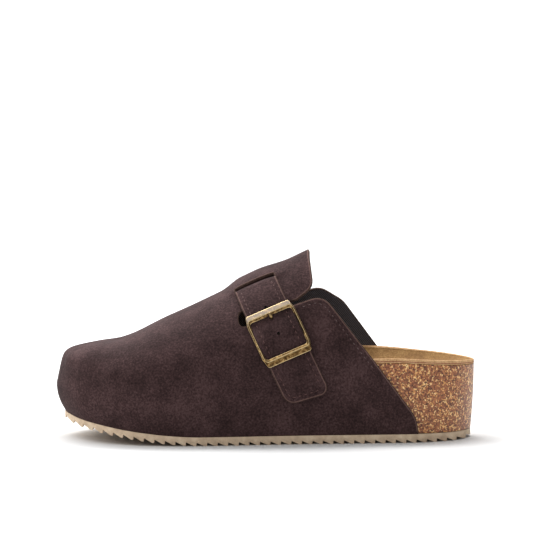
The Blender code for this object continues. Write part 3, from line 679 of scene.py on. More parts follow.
@dataclass(frozen=True)
class Last:
    """The shape that the shoe is made over, with its sole line."""

    heel_end: float = 0.1286
    toe_tip: float = -0.1246
    toe_tip_y: float = 0.0060
    spine_y: float = 0.0030
    toe_pole_x: float = -0.0842
    heel_pole_x: float = 0.1000
    section_lean: float = 0.65
    wall_fullness: float = 2.2
    cup: float = 4.0
    sole_thickness: float = 0.0052
    sole_toe_thickness: float = 0.0044
    toe_spring: float = 0.0112
    spring_start_x: float = -0.0390
    spring_power: float = 1.6
    heel_bevel: float = 0.0008
    bevel_start_x: float = 0.1100
    outline: tuple[Width, ...] = (
        Width(0.1180, 0.0222, 0.0218),
        Width(0.1000, 0.0322, 0.0318),
        Width(0.0740, 0.0358, 0.0345),
        Width(0.0440, 0.0385, 0.0350),
        Width(0.0120, 0.0420, 0.0360),
        Width(-0.0180, 0.0468, 0.0400),
        Width(-0.0440, 0.0500, 0.0462),
        Width(-0.0640, 0.0497, 0.0498),
        Width(-0.0840, 0.0455, 0.0495),
        Width(-0.1020, 0.0352, 0.0430),
        Width(-0.1150, 0.0215, 0.0310),
    )
    sections: tuple[Section, ...] = (
        Section(0.1286, 0.0500, 0.0021, 0.50, 0.00, 0.0432, 0.0482, 0.0482),
        Section(0.1000, 0.0525, 0.0021, 0.50, 0.00, 0.0430, 0.0500, 0.0505),
        Section(0.0700, 0.0540, 0.0020, 0.50, 0.00, 0.0425, 0.0512, 0.0530),
        Section(0.0400, 0.0520, 0.0020, 0.50, 0.00, 0.0400, 0.0490, 0.0528),
        Section(0.0100, 0.0470, 0.0024, 0.50, 0.00, 0.0355, 0.0425, 0.0475),
        Section(-0.0200, 0.0415, 0.0028, 0.48, 0.00, 0.0312, 0.0362, 0.0395),
        Section(-0.0500, 0.0370, 0.0032, 0.46, 0.00, 0.0282, 0.0318, 0.0330),
        Section(-0.0842, 0.0340, 0.0036, 0.38, 0.02, 0.0270, 0.0298, 0.0302),
        Section(-0.1100, 0.0335, 0.0049, 0.22, 0.06, 0.0278, 0.0302, 0.0302),
        Section(-0.1246, 0.0330, 0.0056, 0.11, 0.10, 0.0290, 0.0310, 0.0310),
    )
    ridge: tuple[tuple[float, float], ...] = (
        (-0.1300, 0.0545),
        (-0.1050, 0.0580),
        (-0.0900, 0.0605),
        (-0.0820, 0.0637),
        (-0.0650, 0.0724),
        (-0.0450, 0.0815),
        (-0.0250, 0.0911),
        (0.0000, 0.1031),
        (0.0265, 0.1159),
        (0.0450, 0.1245),
    )

    @cached_property
    def curves(self) -> dict[str, SmoothCurve]:
        """The sections' columns as curves along the shoe, by name.

        Returns:
            One curve a name.
        """
        xs = [s.x for s in self.sections]
        names = ("wide", "flare", "corner", "lean", "bed", "rim_lateral", "rim_medial")
        return {name: SmoothCurve(xs, [getattr(s, name) for s in self.sections]) for name in names}

    @cached_property
    def ridge_z(self) -> SmoothCurve:
        """Height of the upper's ridge along the shoe."""
        return SmoothCurve(*zip(*self.ridge))

    @cached_property
    def plan(self) -> np.ndarray:
        """The dense closed plan outline, from the heel along the lateral side, round the toe and back.

        Returns:
            Its points, one row each.
        """
        lateral = [(w.x, -w.lateral) for w in self.outline]
        medial = [(w.x, w.medial) for w in reversed(self.outline)]
        p = np.array([(self.heel_end, 0.0), *lateral, (self.toe_tip, self.toe_tip_y), *medial])
        t = (np.arange(48) / 48)[:, None]
        runs = []
        for i in range(len(p)):
            a, b, c, d = p[i - 1], p[i], p[(i + 1) % len(p)], p[(i + 2) % len(p)]
            bend = (2 * a - 5 * b + 4 * c - d) * t**2 + (3 * b - a - 3 * c + d) * t**3
            runs.append(0.5 * (2 * b + (c - a) * t + bend))
        return np.concatenate(runs)

    @cached_property
    def plan_normals(self) -> np.ndarray:
        """Outward unit normals of the plan outline.

        Returns:
            One normal a point.
        """
        along = np.roll(self.plan, -1, axis=0) - np.roll(self.plan, 1, axis=0)
        out = np.stack([along[:, 1], -along[:, 0]], axis=1)
        out /= np.linalg.norm(out, axis=1)[:, None]
        return out * (1 if (out * (self.plan - self.plan.mean(axis=0))).sum() > 0 else -1)

    def spring(self, x: float | np.ndarray) -> np.ndarray:
        """Height of the line that the tooth tips follow.

        Args:
            x: Places along the shoe.

        Returns:
            The height at each place.
        """
        x = np.asarray(x, float)
        toe = np.clip((self.spring_start_x - x) / (self.spring_start_x - self.toe_tip), 0.0, None)
        heel = np.clip((x - self.bevel_start_x) / (self.heel_end - self.bevel_start_x), 0.0, None)
        return self.toe_spring * toe**self.spring_power + self.heel_bevel * heel**2

    def sole_top(self, x: float | np.ndarray) -> np.ndarray:
        """Height of the outsole's top.

        Args:
            x: Places along the shoe.

        Returns:
            The height at each place.
        """
        x = np.asarray(x, float)
        toe = np.clip((self.spring_start_x - x) / (self.spring_start_x - self.toe_tip), 0.0, 1.2)
        thickness = self.sole_thickness + (self.sole_toe_thickness - self.sole_thickness) * toe
        heel = np.clip((x - self.bevel_start_x) / (self.heel_end - self.bevel_start_x), 0.0, None)
        return self.spring(x) + thickness - self.heel_bevel * heel**2

    def side_column(self, x: float, side: Side) -> Column:
        """The column whose foot stands at x.

        Args:
            x: Its place along the shoe.
            side: The side of the foot it stands on.

        Returns:
            The column.
        """
        toe = int(np.argmin(self.plan[:, 0]))
        half = np.arange(toe, len(self.plan)) if side is Side.MEDIAL else np.arange(0, toe + 1)
        values = self.plan[half, 0]
        order = np.argsort(values)
        return Column(self, float(np.interp(x, values[order], half[order])), x, False)

    def fan_column(self, pole_x: float, forward: int, angle: float) -> Column:
        """The column that a ray from a pole meets.

        Args:
            pole_x: The pole's place on the spine.
            forward: -1 for the toe's pole and 1 for the heel's.
            angle: The ray's angle from that direction.

        Returns:
            The column.
        """
        count = len(self.plan)
        away = (self.plan[:, 0] - pole_x) * forward
        start = count // 2 if forward > 0 else 0
        half = np.array(sorted(np.flatnonzero(away > -1e-4), key=lambda i: (i + start) % count))
        unwrapped = (half + start) % count
        angles = np.arctan2(self.plan[half, 1] - self.spine_y, away[half])
        order = np.argsort(angles)
        index = float(np.interp(angle, angles[order], unwrapped[order])) - start
        return Column(self, index % count, pole_x, True)

    def columns(self, side_count: int, toe_count: int, heel_count: int = 0) -> list[Column]:
        """Columns along the lateral side, round the toe, back along the medial side and round the heel.

        Args:
            side_count: Columns on each side.
            toe_count: Columns in the toe's fan.
            heel_count: Columns in the heel's fan, none for an open loop.

        Returns:
            The columns in order.
        """
        stations = np.linspace(self.heel_pole_x, self.toe_pole_x, side_count)
        found = [self.side_column(x, Side.LATERAL) for x in stations]
        for angle in np.linspace(-90, 90, toe_count + 2)[1:-1]:
            found.append(self.fan_column(self.toe_pole_x, -1, math.radians(angle)))
        found += [self.side_column(x, Side.MEDIAL) for x in stations[::-1]]
        for angle in np.linspace(90, -90, heel_count + 2)[1:-1] if heel_count else ():
            found.append(self.fan_column(self.heel_pole_x, 1, math.radians(angle)))
        return found


@dataclass
class Sheet:
    """An open leather surface: each vertex has a place, an outward normal and a place in the pattern."""

    place: np.ndarray
    normal: np.ndarray
    pattern: np.ndarray
    faces: list[tuple[int, ...]]
    edge: np.ndarray | None = None

    def trimmed(self, value: np.ndarray) -> "Sheet":
        """Cuts the sheet along the line where a value is zero.

        Args:
            value: One number a vertex, above zero where the sheet stays.

        Returns:
            The part that stays.
        """
        edge = np.full(len(self.place), FAR) if self.edge is None else self.edge
        rows = np.column_stack([self.place, self.normal, self.pattern, edge])
        added: list[np.ndarray] = []
        crossings: dict[tuple[int, int], int] = {}

        def crossing(a: int, b: int) -> int:
            """The vertex where the cut crosses an edge.

            Args:
                a: One end of the edge.
                b: The other end.

            Returns:
                The vertex's number.
            """
            key = (min(a, b), max(a, b))
            if key not in crossings:
                share = value[key[0]] / (value[key[0]] - value[key[1]])
                added.append(rows[key[0]] * (1 - share) + rows[key[1]] * share)
                crossings[key] = len(rows) + len(added) - 1
            return crossings[key]

        keep = value > 0
        faces: list[tuple[int, ...]] = []
        for face in self.faces:
            inside = [keep[i] for i in face]
            if all(inside):
                faces.append(face)
            elif any(inside):
                corners: list[int] = []
                for k, a in enumerate(face):
                    b = face[(k + 1) % len(face)]
                    if keep[a]:
                        corners.append(a)
                    if keep[a] != keep[b]:
                        corners.append(crossing(a, b))
                faces.append(tuple(corners))
        rows = np.concatenate([rows, np.array(added)]) if added else rows
        used = sorted({i for face in faces for i in face})
        renumbered = {old: new for new, old in enumerate(used)}
        rows = rows[used]
        faces = [tuple(renumbered[i] for i in face) for face in faces]
        return Sheet(rows[:, 0:3], rows[:, 3:6], rows[:, 6:-1], faces, rows[:, -1])

    def border(self) -> dict[int, int]:
        """The sheet's edge as a map from each vertex to the next, with the sheet on the left."""
        edges = {(face[k], face[(k + 1) % len(face)]) for face in self.faces for k in range(len(face))}
        return {a: b for a, b in edges if (b, a) not in edges}

    def border_outwards(self) -> dict[int, np.ndarray]:
        """The direction that leads off the sheet at each vertex of its edge.

        Returns:
            Directions by vertex.
        """
        ahead = self.border()
        behind = {b: a for a, b in ahead.items()}
        found = {}
        for i in ahead:
            along = self.place[ahead[i]] - self.place[behind[i]]
            out = np.cross(along, self.normal[i])
            found[i] = out / max(float(np.linalg.norm(out)), 1e-12)
        return found

    def measured(self, shows: Callable[[np.ndarray], np.ndarray]) -> "Sheet":
        """Measures each vertex's distance from the sheet's showing edge, 20 mm at most.

        Args:
            shows: Tells for places, one row each, whether an edge there shows.

        Returns:
            The sheet with its distances.
        """
        ahead = self.border()
        starts = np.array(list(ahead))
        ends = np.array(list(ahead.values()))
        along = np.concatenate(
            [self.place[starts] * (1 - s) + self.place[ends] * s for s in (0.0, 0.25, 0.5, 0.75)]
        )
        along = along[shows(along)]
        tree = KDTree(len(along))
        for i, place in enumerate(along):
            tree.insert(place, i)
        tree.balance()
        edge = np.array([min(tree.find(place)[2], FAR) for place in self.place])
        return Sheet(self.place, self.normal, self.pattern, self.faces, edge)

    def shell(self, thickness: float, rounding: float, steps: int = 3) -> "Shell":
        """Gives the sheet its thickness, with rounded cut edges.

        Args:
            thickness: How thick the leather is, measured inwards.
            rounding: Radius of the edge's two corners.
            steps: Rows of faces in each corner.

        Returns:
            The closed shell.
        """
        count = len(self.place)
        away = np.full(count, FAR) if self.edge is None else self.edge
        places = [self.place, self.place - self.normal * thickness]
        patterns = [self.pattern, self.pattern]
        edges = [away, away]
        faces = list(self.faces) + [tuple(count + i for i in reversed(face)) for face in self.faces]
        slots = [Face.OUTSIDE.value] * len(self.faces) + [Face.INSIDE.value] * len(self.faces)
        turns = np.linspace(0, math.pi / 2, steps + 1)[1:]
        rows = [(rounding * (1 - math.cos(t)), rounding * math.sin(t)) for t in turns]
        rows += [(thickness - depth, out) for depth, out in reversed(rows)]
        ahead = self.border()
        outwards = self.border_outwards()
        border = list(ahead)
        number = {i: k for k, i in enumerate(border)}
        base = self.place[border]
        normal = self.normal[border]
        out = np.array([outwards[i] for i in border])
        for depth, reach in rows:
            places.append(base - normal * depth + out * reach)
            patterns.append(self.pattern[border])
            edges.append(away[border])

        def at(i: int, row: int) -> int:
            """The vertex of a border place in one row, from the outside to the inside.

            Args:
                i: The border's vertex on the outside.
                row: The row, 0 for the outside.

            Returns:
                The vertex's number.
            """
            if row == 0:
                return i
            if row > len(rows):
                return count + i
            return 2 * count + (row - 1) * len(border) + number[i]

        for a, b in ahead.items():
            for row in range(len(rows) + 1):
                faces.append((at(b, row), at(a, row), at(a, row + 1), at(b, row + 1)))
                slots.append(Face.CUT_EDGE.value)
        return Shell(np.concatenate(places), np.concatenate(patterns), np.concatenate(edges), faces, slots)


@dataclass
class Shell:
    """A closed leather piece, ready to become a mesh."""

    place: np.ndarray
    pattern: np.ndarray
    edge: np.ndarray
    faces: list[tuple[int, ...]]
    slots: list[int]

    def object(self, name: str, materials: Sequence[Material]) -> Object:
        """Makes the piece's object.

        Args:
            name: Its name.
            materials: One material a slot.

        Returns:
            The object, linked to the scene.
        """
        mesh = bpy.data.meshes.new(name)
        mesh.from_pydata(self.place.tolist(), [], self.faces)
        mesh.polygons.foreach_set("material_index", self.slots)
        layer = mesh.uv_layers.new(name="pattern")
        corners = np.empty(len(mesh.loops), int)
        mesh.loops.foreach_get("vertex_index", corners)
        layer.data.foreach_set("uv", self.pattern[corners].ravel())
        mesh.attributes.new("edge_mm", "FLOAT", "POINT").data.foreach_set("value", self.edge * 1000)
        return linked(name, mesh, materials)


def linked(name: str, mesh: Mesh, materials: Sequence[Material]) -> Object:
    """Links a mesh to the scene, shaded smooth.

    Args:
        name: The object's name.
        mesh: Its mesh.
        materials: Its materials, in slot order.

    Returns:
        The object.
    """
    mesh.name = name
    for material in materials:
        mesh.materials.append(material)
    mesh.shade_smooth()
    obj = bpy.data.objects.new(name, mesh)
    bpy.context.scene.collection.objects.link(obj)
    return obj


def applied(obj: Object) -> Object:
    """Turns an object's modifiers and place into its plain mesh.

    Args:
        obj: The object.

    Returns:
        The same object, at the origin and without modifiers.
    """
    graph = bpy.context.evaluated_depsgraph_get()
    mesh = bpy.data.meshes.new_from_object(obj.evaluated_get(graph))
    mesh.transform(obj.matrix_world)
    obj.modifiers.clear()
    obj.matrix_world = Matrix.Identity(4)
    obj.data = mesh
    return obj


@contextmanager
def edited(mesh: Mesh) -> Iterator[bmesh.types.BMesh]:
    """Opens a mesh for editing and writes it back.

    Args:
        mesh: The mesh.

    Yields:
        The mesh as it is edited.
    """
    bm = bmesh.new()
    bm.from_mesh(mesh)
    yield bm
    bm.to_mesh(mesh)
    bm.free()


def welded_mesh(name: str, points: np.ndarray, faces: Faces, slots: Sequence[int] = ()) -> Mesh:
    """Makes a closed mesh with coinciding points made one and its faces turned outwards.

    Args:
        name: The mesh's name.
        points: Its points, one row each.
        faces: Its faces.
        slots: One material slot a face, none if all are the first.

    Returns:
        The mesh.
    """
    mesh = bpy.data.meshes.new(name)
    mesh.from_pydata(np.asarray(points).tolist(), [], list(faces))
    if slots:
        mesh.polygons.foreach_set("material_index", slots)
    with edited(mesh) as bm:
        bmesh.ops.remove_doubles(bm, verts=bm.verts, dist=WELD)
        bmesh.ops.recalc_face_normals(bm, faces=bm.faces)
    return mesh


def grid_faces(rows: int, row_length: int, closed: bool) -> list[tuple[int, ...]]:
    """Quads between neighbouring rows of points.

    Args:
        rows: How many rows there are.
        row_length: Points in each row.
        closed: True if the last point of a row meets the first.

    Returns:
        The faces.
    """
    faces = []
    for low in range(0, (rows - 1) * row_length, row_length):
        high = low + row_length
        for c in range(row_length if closed else row_length - 1):
            d = (c + 1) % row_length
            faces.append((low + c, low + d, high + d, high + c))
    return faces


def prism(name: str, outline: np.ndarray, low: float, high: float, upright: bool) -> Mesh:
    """A prism over an outline.

    Args:
        name: The mesh's name.
        outline: The outline, one row each.
        low: Where the prism starts.
        high: Where it ends.
        upright: True for a plan outline that rises along Z, False for a side view that runs along Y.

    Returns:
        The mesh.
    """
    count = len(outline)
    points = [(a, b, level) if upright else (a, level, b) for level in (low, high) for a, b in outline]
    faces: list[tuple[int, ...]] = [tuple(range(count)), tuple(range(2 * count - 1, count - 1, -1))]
    faces += [(i, (i + 1) % count, count + (i + 1) % count, count + i) for i in range(count)]
    return welded_mesh(name, np.array(points), faces)


def cut(obj: Object, cutter: Object, operation: str) -> None:
    """Cuts or joins an object with another, which is removed.

    Args:
        obj: The object that stays.
        cutter: The other object.
        operation: The Boolean modifier's operation.
    """
    modifier = obj.modifiers.new("cut", "BOOLEAN")
    modifier.operation = operation
    modifier.solver = "EXACT"
    modifier.object = cutter
    applied(obj)
    bpy.data.objects.remove(cutter, do_unlink=True)


def settle(obj: Object, nodes: Sequence[str]) -> None:
    """Hands a finished piece to the frame and reports it.

    Args:
        obj: The piece.
        nodes: The frame's nodes that it stands for, if any.
    """
    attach(obj, "root")
    if nodes:
        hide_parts(*nodes)
    obj.data.calc_loop_triangles()
    LOG.info("%s: %d triangles", obj.name, len(obj.data.loop_triangles))


@dataclass(frozen=True)
class StrapBand:
    """The band between two planes square to the instep that the strap runs in, with its levels."""

    last: Last
    tilt: float = math.radians(25.5)
    centre: float = 0.0348
    width: float = 0.0257
    thickness: float = 0.0017
    slit_lip: float = 0.0203
    slit_length: float = 0.0075
    slit_side: float = 0.0001
    core_depth: float = 0.0400
    bulge: float = 0.0029
    bulge_toeward: float = 0.0220
    bulge_rise: float = 0.0140
    bulge_heelward: float = 0.0270
    bulge_fall: float = 0.0260
    bulge_medial: float = 0.0400
    bulge_medial_rise: float = 0.0300
    bulge_slit_share: float = 0.6
    dive_start: float = 0.0004
    dive_share: float = 0.85
    buckle_at: float = 0.0642
    levels: tuple[tuple[float, float], ...] = (
        (-0.0240, 0.0015),
        (-0.0180, 0.0016),
        (-0.0125, 0.0019),
        (-0.0085, 0.0028),
        (-0.0050, 0.0038),
        (0.0000, 0.0044),
        (0.0050, 0.0038),
        (0.0085, 0.0026),
        (0.0125, 0.0018),
        (0.0200, 0.0016),
        (0.0440, 0.0026),
    )

    @cached_property
    def along(self) -> np.ndarray:
        """The direction across the strap, up the instep."""
        return np.array([math.cos(self.tilt), 0.0, math.sin(self.tilt)])

    @cached_property
    def up(self) -> np.ndarray:
        """The direction square to the instep."""
        return np.array([-math.sin(self.tilt), 0.0, math.cos(self.tilt)])

    @cached_property
    def level(self) -> SmoothCurve:
        """Height of the strap's middle layer above the upper, by distance from the buckle."""
        return SmoothCurve(*zip(*self.levels))

    def core(self, across: float | np.ndarray) -> np.ndarray:
        """Points inside the instep that the strap's rays start from.

        Args:
            across: Distances along the instep, one or many.

        Returns:
            The point or points.
        """
        xs = np.linspace(self.last.toe_pole_x, 0.06, 400)
        distance = xs * self.along[0] + self.last.ridge_z(xs) * self.along[2]
        x = np.interp(across, distance, xs)
        top = np.stack([x, np.full_like(x, self.last.spine_y), self.last.ridge_z(x)], axis=-1)
        return top - self.up * self.core_depth

    def lift(self, points: np.ndarray) -> np.ndarray:
        """How far the strap beneath lifts the flap.

        Args:
            points: Places on the upper, one row each.

        Returns:
            The lift at each place.
        """
        distance = points @ self.along
        across = distance - self.centre
        rise = ease((across + self.bulge_toeward) / self.bulge_rise)
        band = rise * ease((self.bulge_heelward - across) / self.bulge_fall)
        inside = points - self.core(distance)
        arc = np.arctan2(-(points[:, 1] - self.last.spine_y), inside @ self.up) * self.core_depth
        lateral = 1 - ease((arc - self.slit_lip) / (self.bulge_slit_share * self.slit_length))
        medial = ease((arc + self.bulge_medial) / self.bulge_medial_rise)
        return self.bulge * lateral * medial * band

    def height(self, arc: float) -> float:
        """Height of the strap's middle layer above the upper's outside.

        Args:
            arc: Distance down the strap from the ridge.

        Returns:
            The height, below zero under the flap.
        """
        inside = -(WALL + CURVED_GAP + self.thickness / 2)
        outside = float(self.level(max(arc - self.buckle_at, self.levels[0][0])))
        dive = (arc - self.slit_lip - self.dive_start) / (self.dive_share * self.slit_length)
        return inside + (outside - inside) * float(ease(dive))


class Wrapping:
    """The upper's outside under the strap, found by rays from inside the instep."""

    def __init__(self, band: StrapBand, place: np.ndarray, faces: Faces) -> None:
        """Measures the middle line of the band.

        Args:
            band: The band that the strap runs in.
            place: Vertices of the uncut upper.
            faces: Its faces.
        """
        self.band = band
        self.tree = BVHTree.FromPolygons(place.tolist(), list(faces))
        self.angles = np.radians(np.arange(-80.0, 156.0, 1.0))
        self.sections: dict[float, np.ndarray] = {}
        centre = self.section(band.centre)
        arc = arc_lengths(centre)
        self.arc = arc - np.interp(0.0, self.angles, arc)

    def section(self, across: float) -> np.ndarray:
        """Where rays at every angle meet the upper.

        Args:
            across: The plane's distance along the instep.

        Returns:
            One point an angle.
        """
        key = round(across, 7)
        if key not in self.sections:
            core = self.band.core(across)
            hits: list[tuple[float, ...]] = []
            for angle in self.angles:
                ray = self.band.up * math.cos(angle) + np.array([0.0, -math.sin(angle), 0.0])
                found = self.tree.ray_cast(Vector(core), Vector(ray))[0]
                hits.append(tuple(found) if found is not None else hits[-1])
            self.sections[key] = np.array(hits)
        return self.sections[key]

    def point(self, across: float, arc: float, height: float) -> np.ndarray:
        """A point over the upper.

        Args:
            across: Its distance along the instep.
            arc: Its distance down the strap from the ridge.
            height: Its height over the upper's outside.

        Returns:
            The point.
        """
        hits = self.section(across)
        reach = 0.004

        def at(distance: float) -> np.ndarray:
            """The point of the section at a distance down the strap."""
            angle = np.interp(distance, self.arc, self.angles)
            return np.array([np.interp(angle, self.angles, hits[:, k]) for k in range(3)])

        here = at(arc)
        normal = np.cross(at(arc + reach) - at(arc - reach), self.band.along)
        normal /= np.linalg.norm(normal)
        if normal @ (here - self.band.core(across)) < 0:
            normal = -normal
        return here + normal * height

    def slit(self) -> tuple[np.ndarray, float, np.ndarray]:
        """Where the slit lies.

        Returns:
            The middle of its lip, its length and the direction down it.
        """
        band = self.band
        lip = self.point(band.centre, band.slit_lip, 0.0)
        down = self.point(band.centre, band.slit_lip + band.slit_length, 0.0) - lip
        length = float(np.linalg.norm(down))
        return lip, length, down / length


@dataclass(frozen=True)
class SuedeUpper:
    """The hollow suede upper, from the sole's edge to the flap, with its ears, notch and slit."""

    last: Last
    band: StrapBand
    edge_rounding: float = 0.0006
    side_columns: int = 150
    toe_columns: int = 81
    wall_rows: int = 24
    dome_rows: int = 58
    behind_x: float = 0.1600
    lateral_topline: tuple[Corner, ...] = (
        Corner(0.0260, 0.1400, 0.0),
        Corner(0.0260, 0.1120, 0.020),
        Corner(0.0284, 0.0945, 0.009),
        Corner(0.0180, 0.0864, 0.004),
        Corner(-0.0175, 0.0795, 0.0045),
        Corner(-0.0160, 0.0697, 0.0045),
        Corner(0.0180, 0.0844, 0.004),
        Corner(0.0342, 0.0898, 0.015),
        Corner(0.0650, 0.0500, 0.040),
        Corner(0.0908, 0.0150, 0.020),
        Corner(0.0938, -0.0100, 0.0),
    )
    medial_topline: tuple[Corner, ...] = (
        Corner(0.0260, 0.1400, 0.0),
        Corner(0.0260, 0.1120, 0.020),
        Corner(0.0288, 0.0970, 0.009),
        Corner(0.0195, 0.0893, 0.004),
        Corner(-0.0125, 0.0825, 0.0040),
        Corner(-0.0110, 0.0735, 0.0040),
        Corner(0.0180, 0.0865, 0.004),
        Corner(0.0335, 0.0913, 0.012),
        Corner(0.0484, 0.0822, 0.018),
        Corner(0.0714, 0.0512, 0.040),
        Corner(0.0930, 0.0150, 0.020),
        Corner(0.0955, -0.0100, 0.0),
    )
    seam_inset: float = 0.0028
    creases: tuple[Crease, ...] = (
        Crease((-0.1215, -0.0150, 0.0490), (-0.0920, -0.0410, 0.0410), 0.0046, -0.0015),
        Crease((-0.0920, -0.0410, 0.0410), (-0.0620, -0.0520, 0.0330), 0.0050, -0.0013),
        Crease((-0.1170, -0.0300, 0.0370), (-0.0860, -0.0490, 0.0300), 0.0065, 0.0013),
        Crease((-0.0480, -0.0300, 0.0700), (-0.0300, -0.0520, 0.0300), 0.0110, 0.0006),
        Crease((-0.0200, -0.0300, 0.0800), (-0.0050, -0.0500, 0.0350), 0.0110, -0.0005),
        Crease((0.0450, -0.0400, 0.0500), (0.0600, -0.0400, 0.0200), 0.0120, 0.0004),
        Crease((-0.0480, 0.0300, 0.0700), (-0.0300, 0.0480, 0.0300), 0.0110, 0.0006),
    )

    def column_points(self, column: Column) -> np.ndarray:
        """Points of the upper's outside up one column, from the sole to the ridge.

        Args:
            column: The column.

        Returns:
            One point a row.
        """
        last = self.last
        wide = float(last.curves["wide"](column.x))
        heights = np.linspace(float(last.sole_top(column.x)) + GAP, wide, self.wall_rows)
        wall = np.array([column.wall(z) for z in heights])
        start = wall[-1]
        turn = np.linspace(0.0, math.pi / 2, 361)
        power = 2 * float(last.curves["corner"](column.x))
        up = np.sin(turn) ** power
        out = np.cos(turn) ** power * (1 - float(last.curves["lean"](column.x)) * up)
        out[-1] = 0.0
        x = start[0] + (column.top_x() - start[0]) * (1 - out if column.fan else up)
        y = last.spine_y + (start[1] - last.spine_y) * out
        z = wide + (last.ridge_z(x) - wide) * up
        dense = np.stack([x, y, z], axis=1)
        arc = arc_lengths(dense)
        lengths = np.linspace(0, arc[-1], self.dome_rows)[1:]
        dome = np.stack([np.interp(lengths, arc, dense[:, k]) for k in range(3)], axis=1)
        outwards = dome - self.band.core(dome @ self.band.along)
        outwards[:, 0] = 0.0
        outwards /= np.linalg.norm(outwards, axis=1)[:, None]
        return np.concatenate([wall, dome + outwards * self.band.lift(dome)[:, None]])

    def whole(self) -> Sheet:
        """The upper's outside before it is cut, with its creases.

        Returns:
            The uncut outside.
        """
        columns = self.last.columns(self.side_columns, self.toe_columns)
        grid = [self.column_points(c) for c in columns]
        mesh = bpy.data.meshes.new("upper_whole")
        mesh.from_pydata(np.concatenate(grid).tolist(), [], grid_faces(len(grid), len(grid[0]), False))
        bm = bmesh.new()
        bm.from_mesh(mesh)
        bmesh.ops.remove_doubles(bm, verts=bm.verts, dist=WELD)
        bmesh.ops.recalc_face_normals(bm, faces=bm.faces)
        toe = min(bm.faces, key=lambda f: f.calc_center_median().x)
        if toe.normal.x > 0:
            bmesh.ops.reverse_faces(bm, faces=bm.faces)
        bm.normal_update()
        bm.verts.index_update()
        place = np.array([tuple(v.co) for v in bm.verts])
        normal = np.array([tuple(v.normal) for v in bm.verts])
        faces = [tuple(v.index for v in f.verts) for f in bm.faces]
        bm.free()
        bpy.data.meshes.remove(mesh)
        place = place - normal * self.sunk(place)[:, None]
        return Sheet(place, normal, place[:, [0, 2]], faces)

    def sunk(self, place: np.ndarray) -> np.ndarray:
        """How far the creases sink the surface.

        Args:
            place: Places on the surface, one row each.

        Returns:
            The depth at each place.
        """
        depth = np.zeros(len(place))
        for crease in self.creases:
            start = np.array(crease.start)
            line = np.array(crease.end) - start
            share = np.clip((place - start) @ line / (line @ line), 0.0, 1.0)
            away = np.linalg.norm(place - start - share[:, None] * line, axis=1)
            depth += crease.depth * np.exp(-((away / crease.width) ** 2))
        return depth

    def topline_value(self, sheet: Sheet) -> np.ndarray:
        """Distance from the cut-away space behind the top line, above zero on the upper.

        Args:
            sheet: The sheet to be cut.

        Returns:
            One distance a vertex.
        """
        seen = sheet.place[:, [0, 2]]
        found = {}
        for side, corners in ((Side.LATERAL, self.lateral_topline), (Side.MEDIAL, self.medial_topline)):
            line = rounded_corners(corners)
            closing = [(self.behind_x, corners[-1].z), (self.behind_x, corners[0].z)]
            found[side] = distance_to_outline(np.concatenate([line, closing]), seen)
        return np.where(sheet.place[:, 1] < self.last.spine_y, found[Side.LATERAL], found[Side.MEDIAL])

    def slit_value(self, sheet: Sheet, wrapping: Wrapping) -> np.ndarray:
        """Distance from the strap's slit, above zero outside it.

        Args:
            sheet: The sheet to be cut.
            wrapping: The upper's outside under the strap.

        Returns:
            One distance a vertex.
        """
        band = self.band
        lip, length, down = wrapping.slit()
        out = np.cross(band.along, down)
        away = sheet.place - lip - down * (length / 2)
        reaches = (
            np.abs(away @ down) - length / 2,
            np.abs(away @ band.along) - band.width / 2 - band.slit_side,
            np.abs(away @ out) - 0.007,
        )
        return np.max(reaches, axis=0)

    def build(self, whole: Sheet, wrapping: Wrapping) -> Sheet:
        """Cuts the top line and the slit.

        Args:
            whole: The uncut outside.
            wrapping: The upper's outside under the strap.

        Returns:
            The cut outside.
        """
        sheet = whole.trimmed(self.topline_value(whole) - self.edge_rounding)
        sheet = sheet.trimmed(self.slit_value(sheet, wrapping) - self.edge_rounding)
        band = self.band
        lip, _, down = wrapping.slit()

        def shows(place: np.ndarray) -> np.ndarray:
            """Tells where a cut edge shows: above the sole, out of the notch, and on the slit's lip.

            Args:
                place: Places, one row each.

            Returns:
                One truth a place.
            """
            above_sole = place[:, 2] > self.last.sole_top(place[:, 0]) + 0.0012
            out_of_notch = (place[:, 0] > 0.0160) | (place[:, 1] < -0.060)
            away = place - lip
            across = np.abs(away @ band.along)
            near_slit = (across < band.width / 2 + 0.003) & (np.abs(away @ down) < 0.011)
            on_lip = near_slit & (across < band.width / 2 - 0.0002) & (away @ down < 0.0012)
            return above_sole & np.where(near_slit, on_lip, out_of_notch)

        return sheet.measured(shows)

    def dress(self, sheet: Sheet, materials: Sequence[Material]) -> None:
        """Gives the cut outside its thickness and its finishes: suede, cut edge and lining."""
        obj = sheet.shell(WALL, self.edge_rounding).object("suede_upper", materials)
        settle(obj, ["upper"])

    def seam(self, sheet: Sheet) -> np.ndarray:
        """The line of small stitches inside the edge of the lateral ear.

        Args:
            sheet: The cut outside.

        Returns:
            The line's points, one row each.
        """
        ahead = sheet.border()
        outwards = sheet.border_outwards()
        tree = BVHTree.FromPolygons(sheet.place.tolist(), sheet.faces)

        def on_ear(i: int) -> bool:
            """Tells an edge vertex on the lateral ear's top and back.

            Args:
                i: The vertex.

            Returns:
                Whether it is.
            """
            x, y, z = sheet.place[i]
            above_notch = x > 0.0200 and z < 0.0900 and 0.36 * (x - 0.0200) + z > 0.0838 or x > 0.0400
            return y < -0.015 and above_notch and z > 0.0480 and x < 0.0860

        starts = [i for i, j in ahead.items() if on_ear(j) and not on_ear(i)]
        runs = []
        for i in starts:
            run = []
            j = ahead[i]
            while on_ear(j):
                inward = sheet.place[j] - outwards[j] * self.seam_inset
                run.append(np.array(tuple(tree.find_nearest(Vector(inward))[0])))
                j = ahead[j]
            runs.append(np.array(run))
        longest = max(runs, key=len)
        smooth = longest[::3].copy()
        smooth[1:-1] = (smooth[:-2] + 2 * smooth[1:-1] + smooth[2:]) / 4
        return smooth


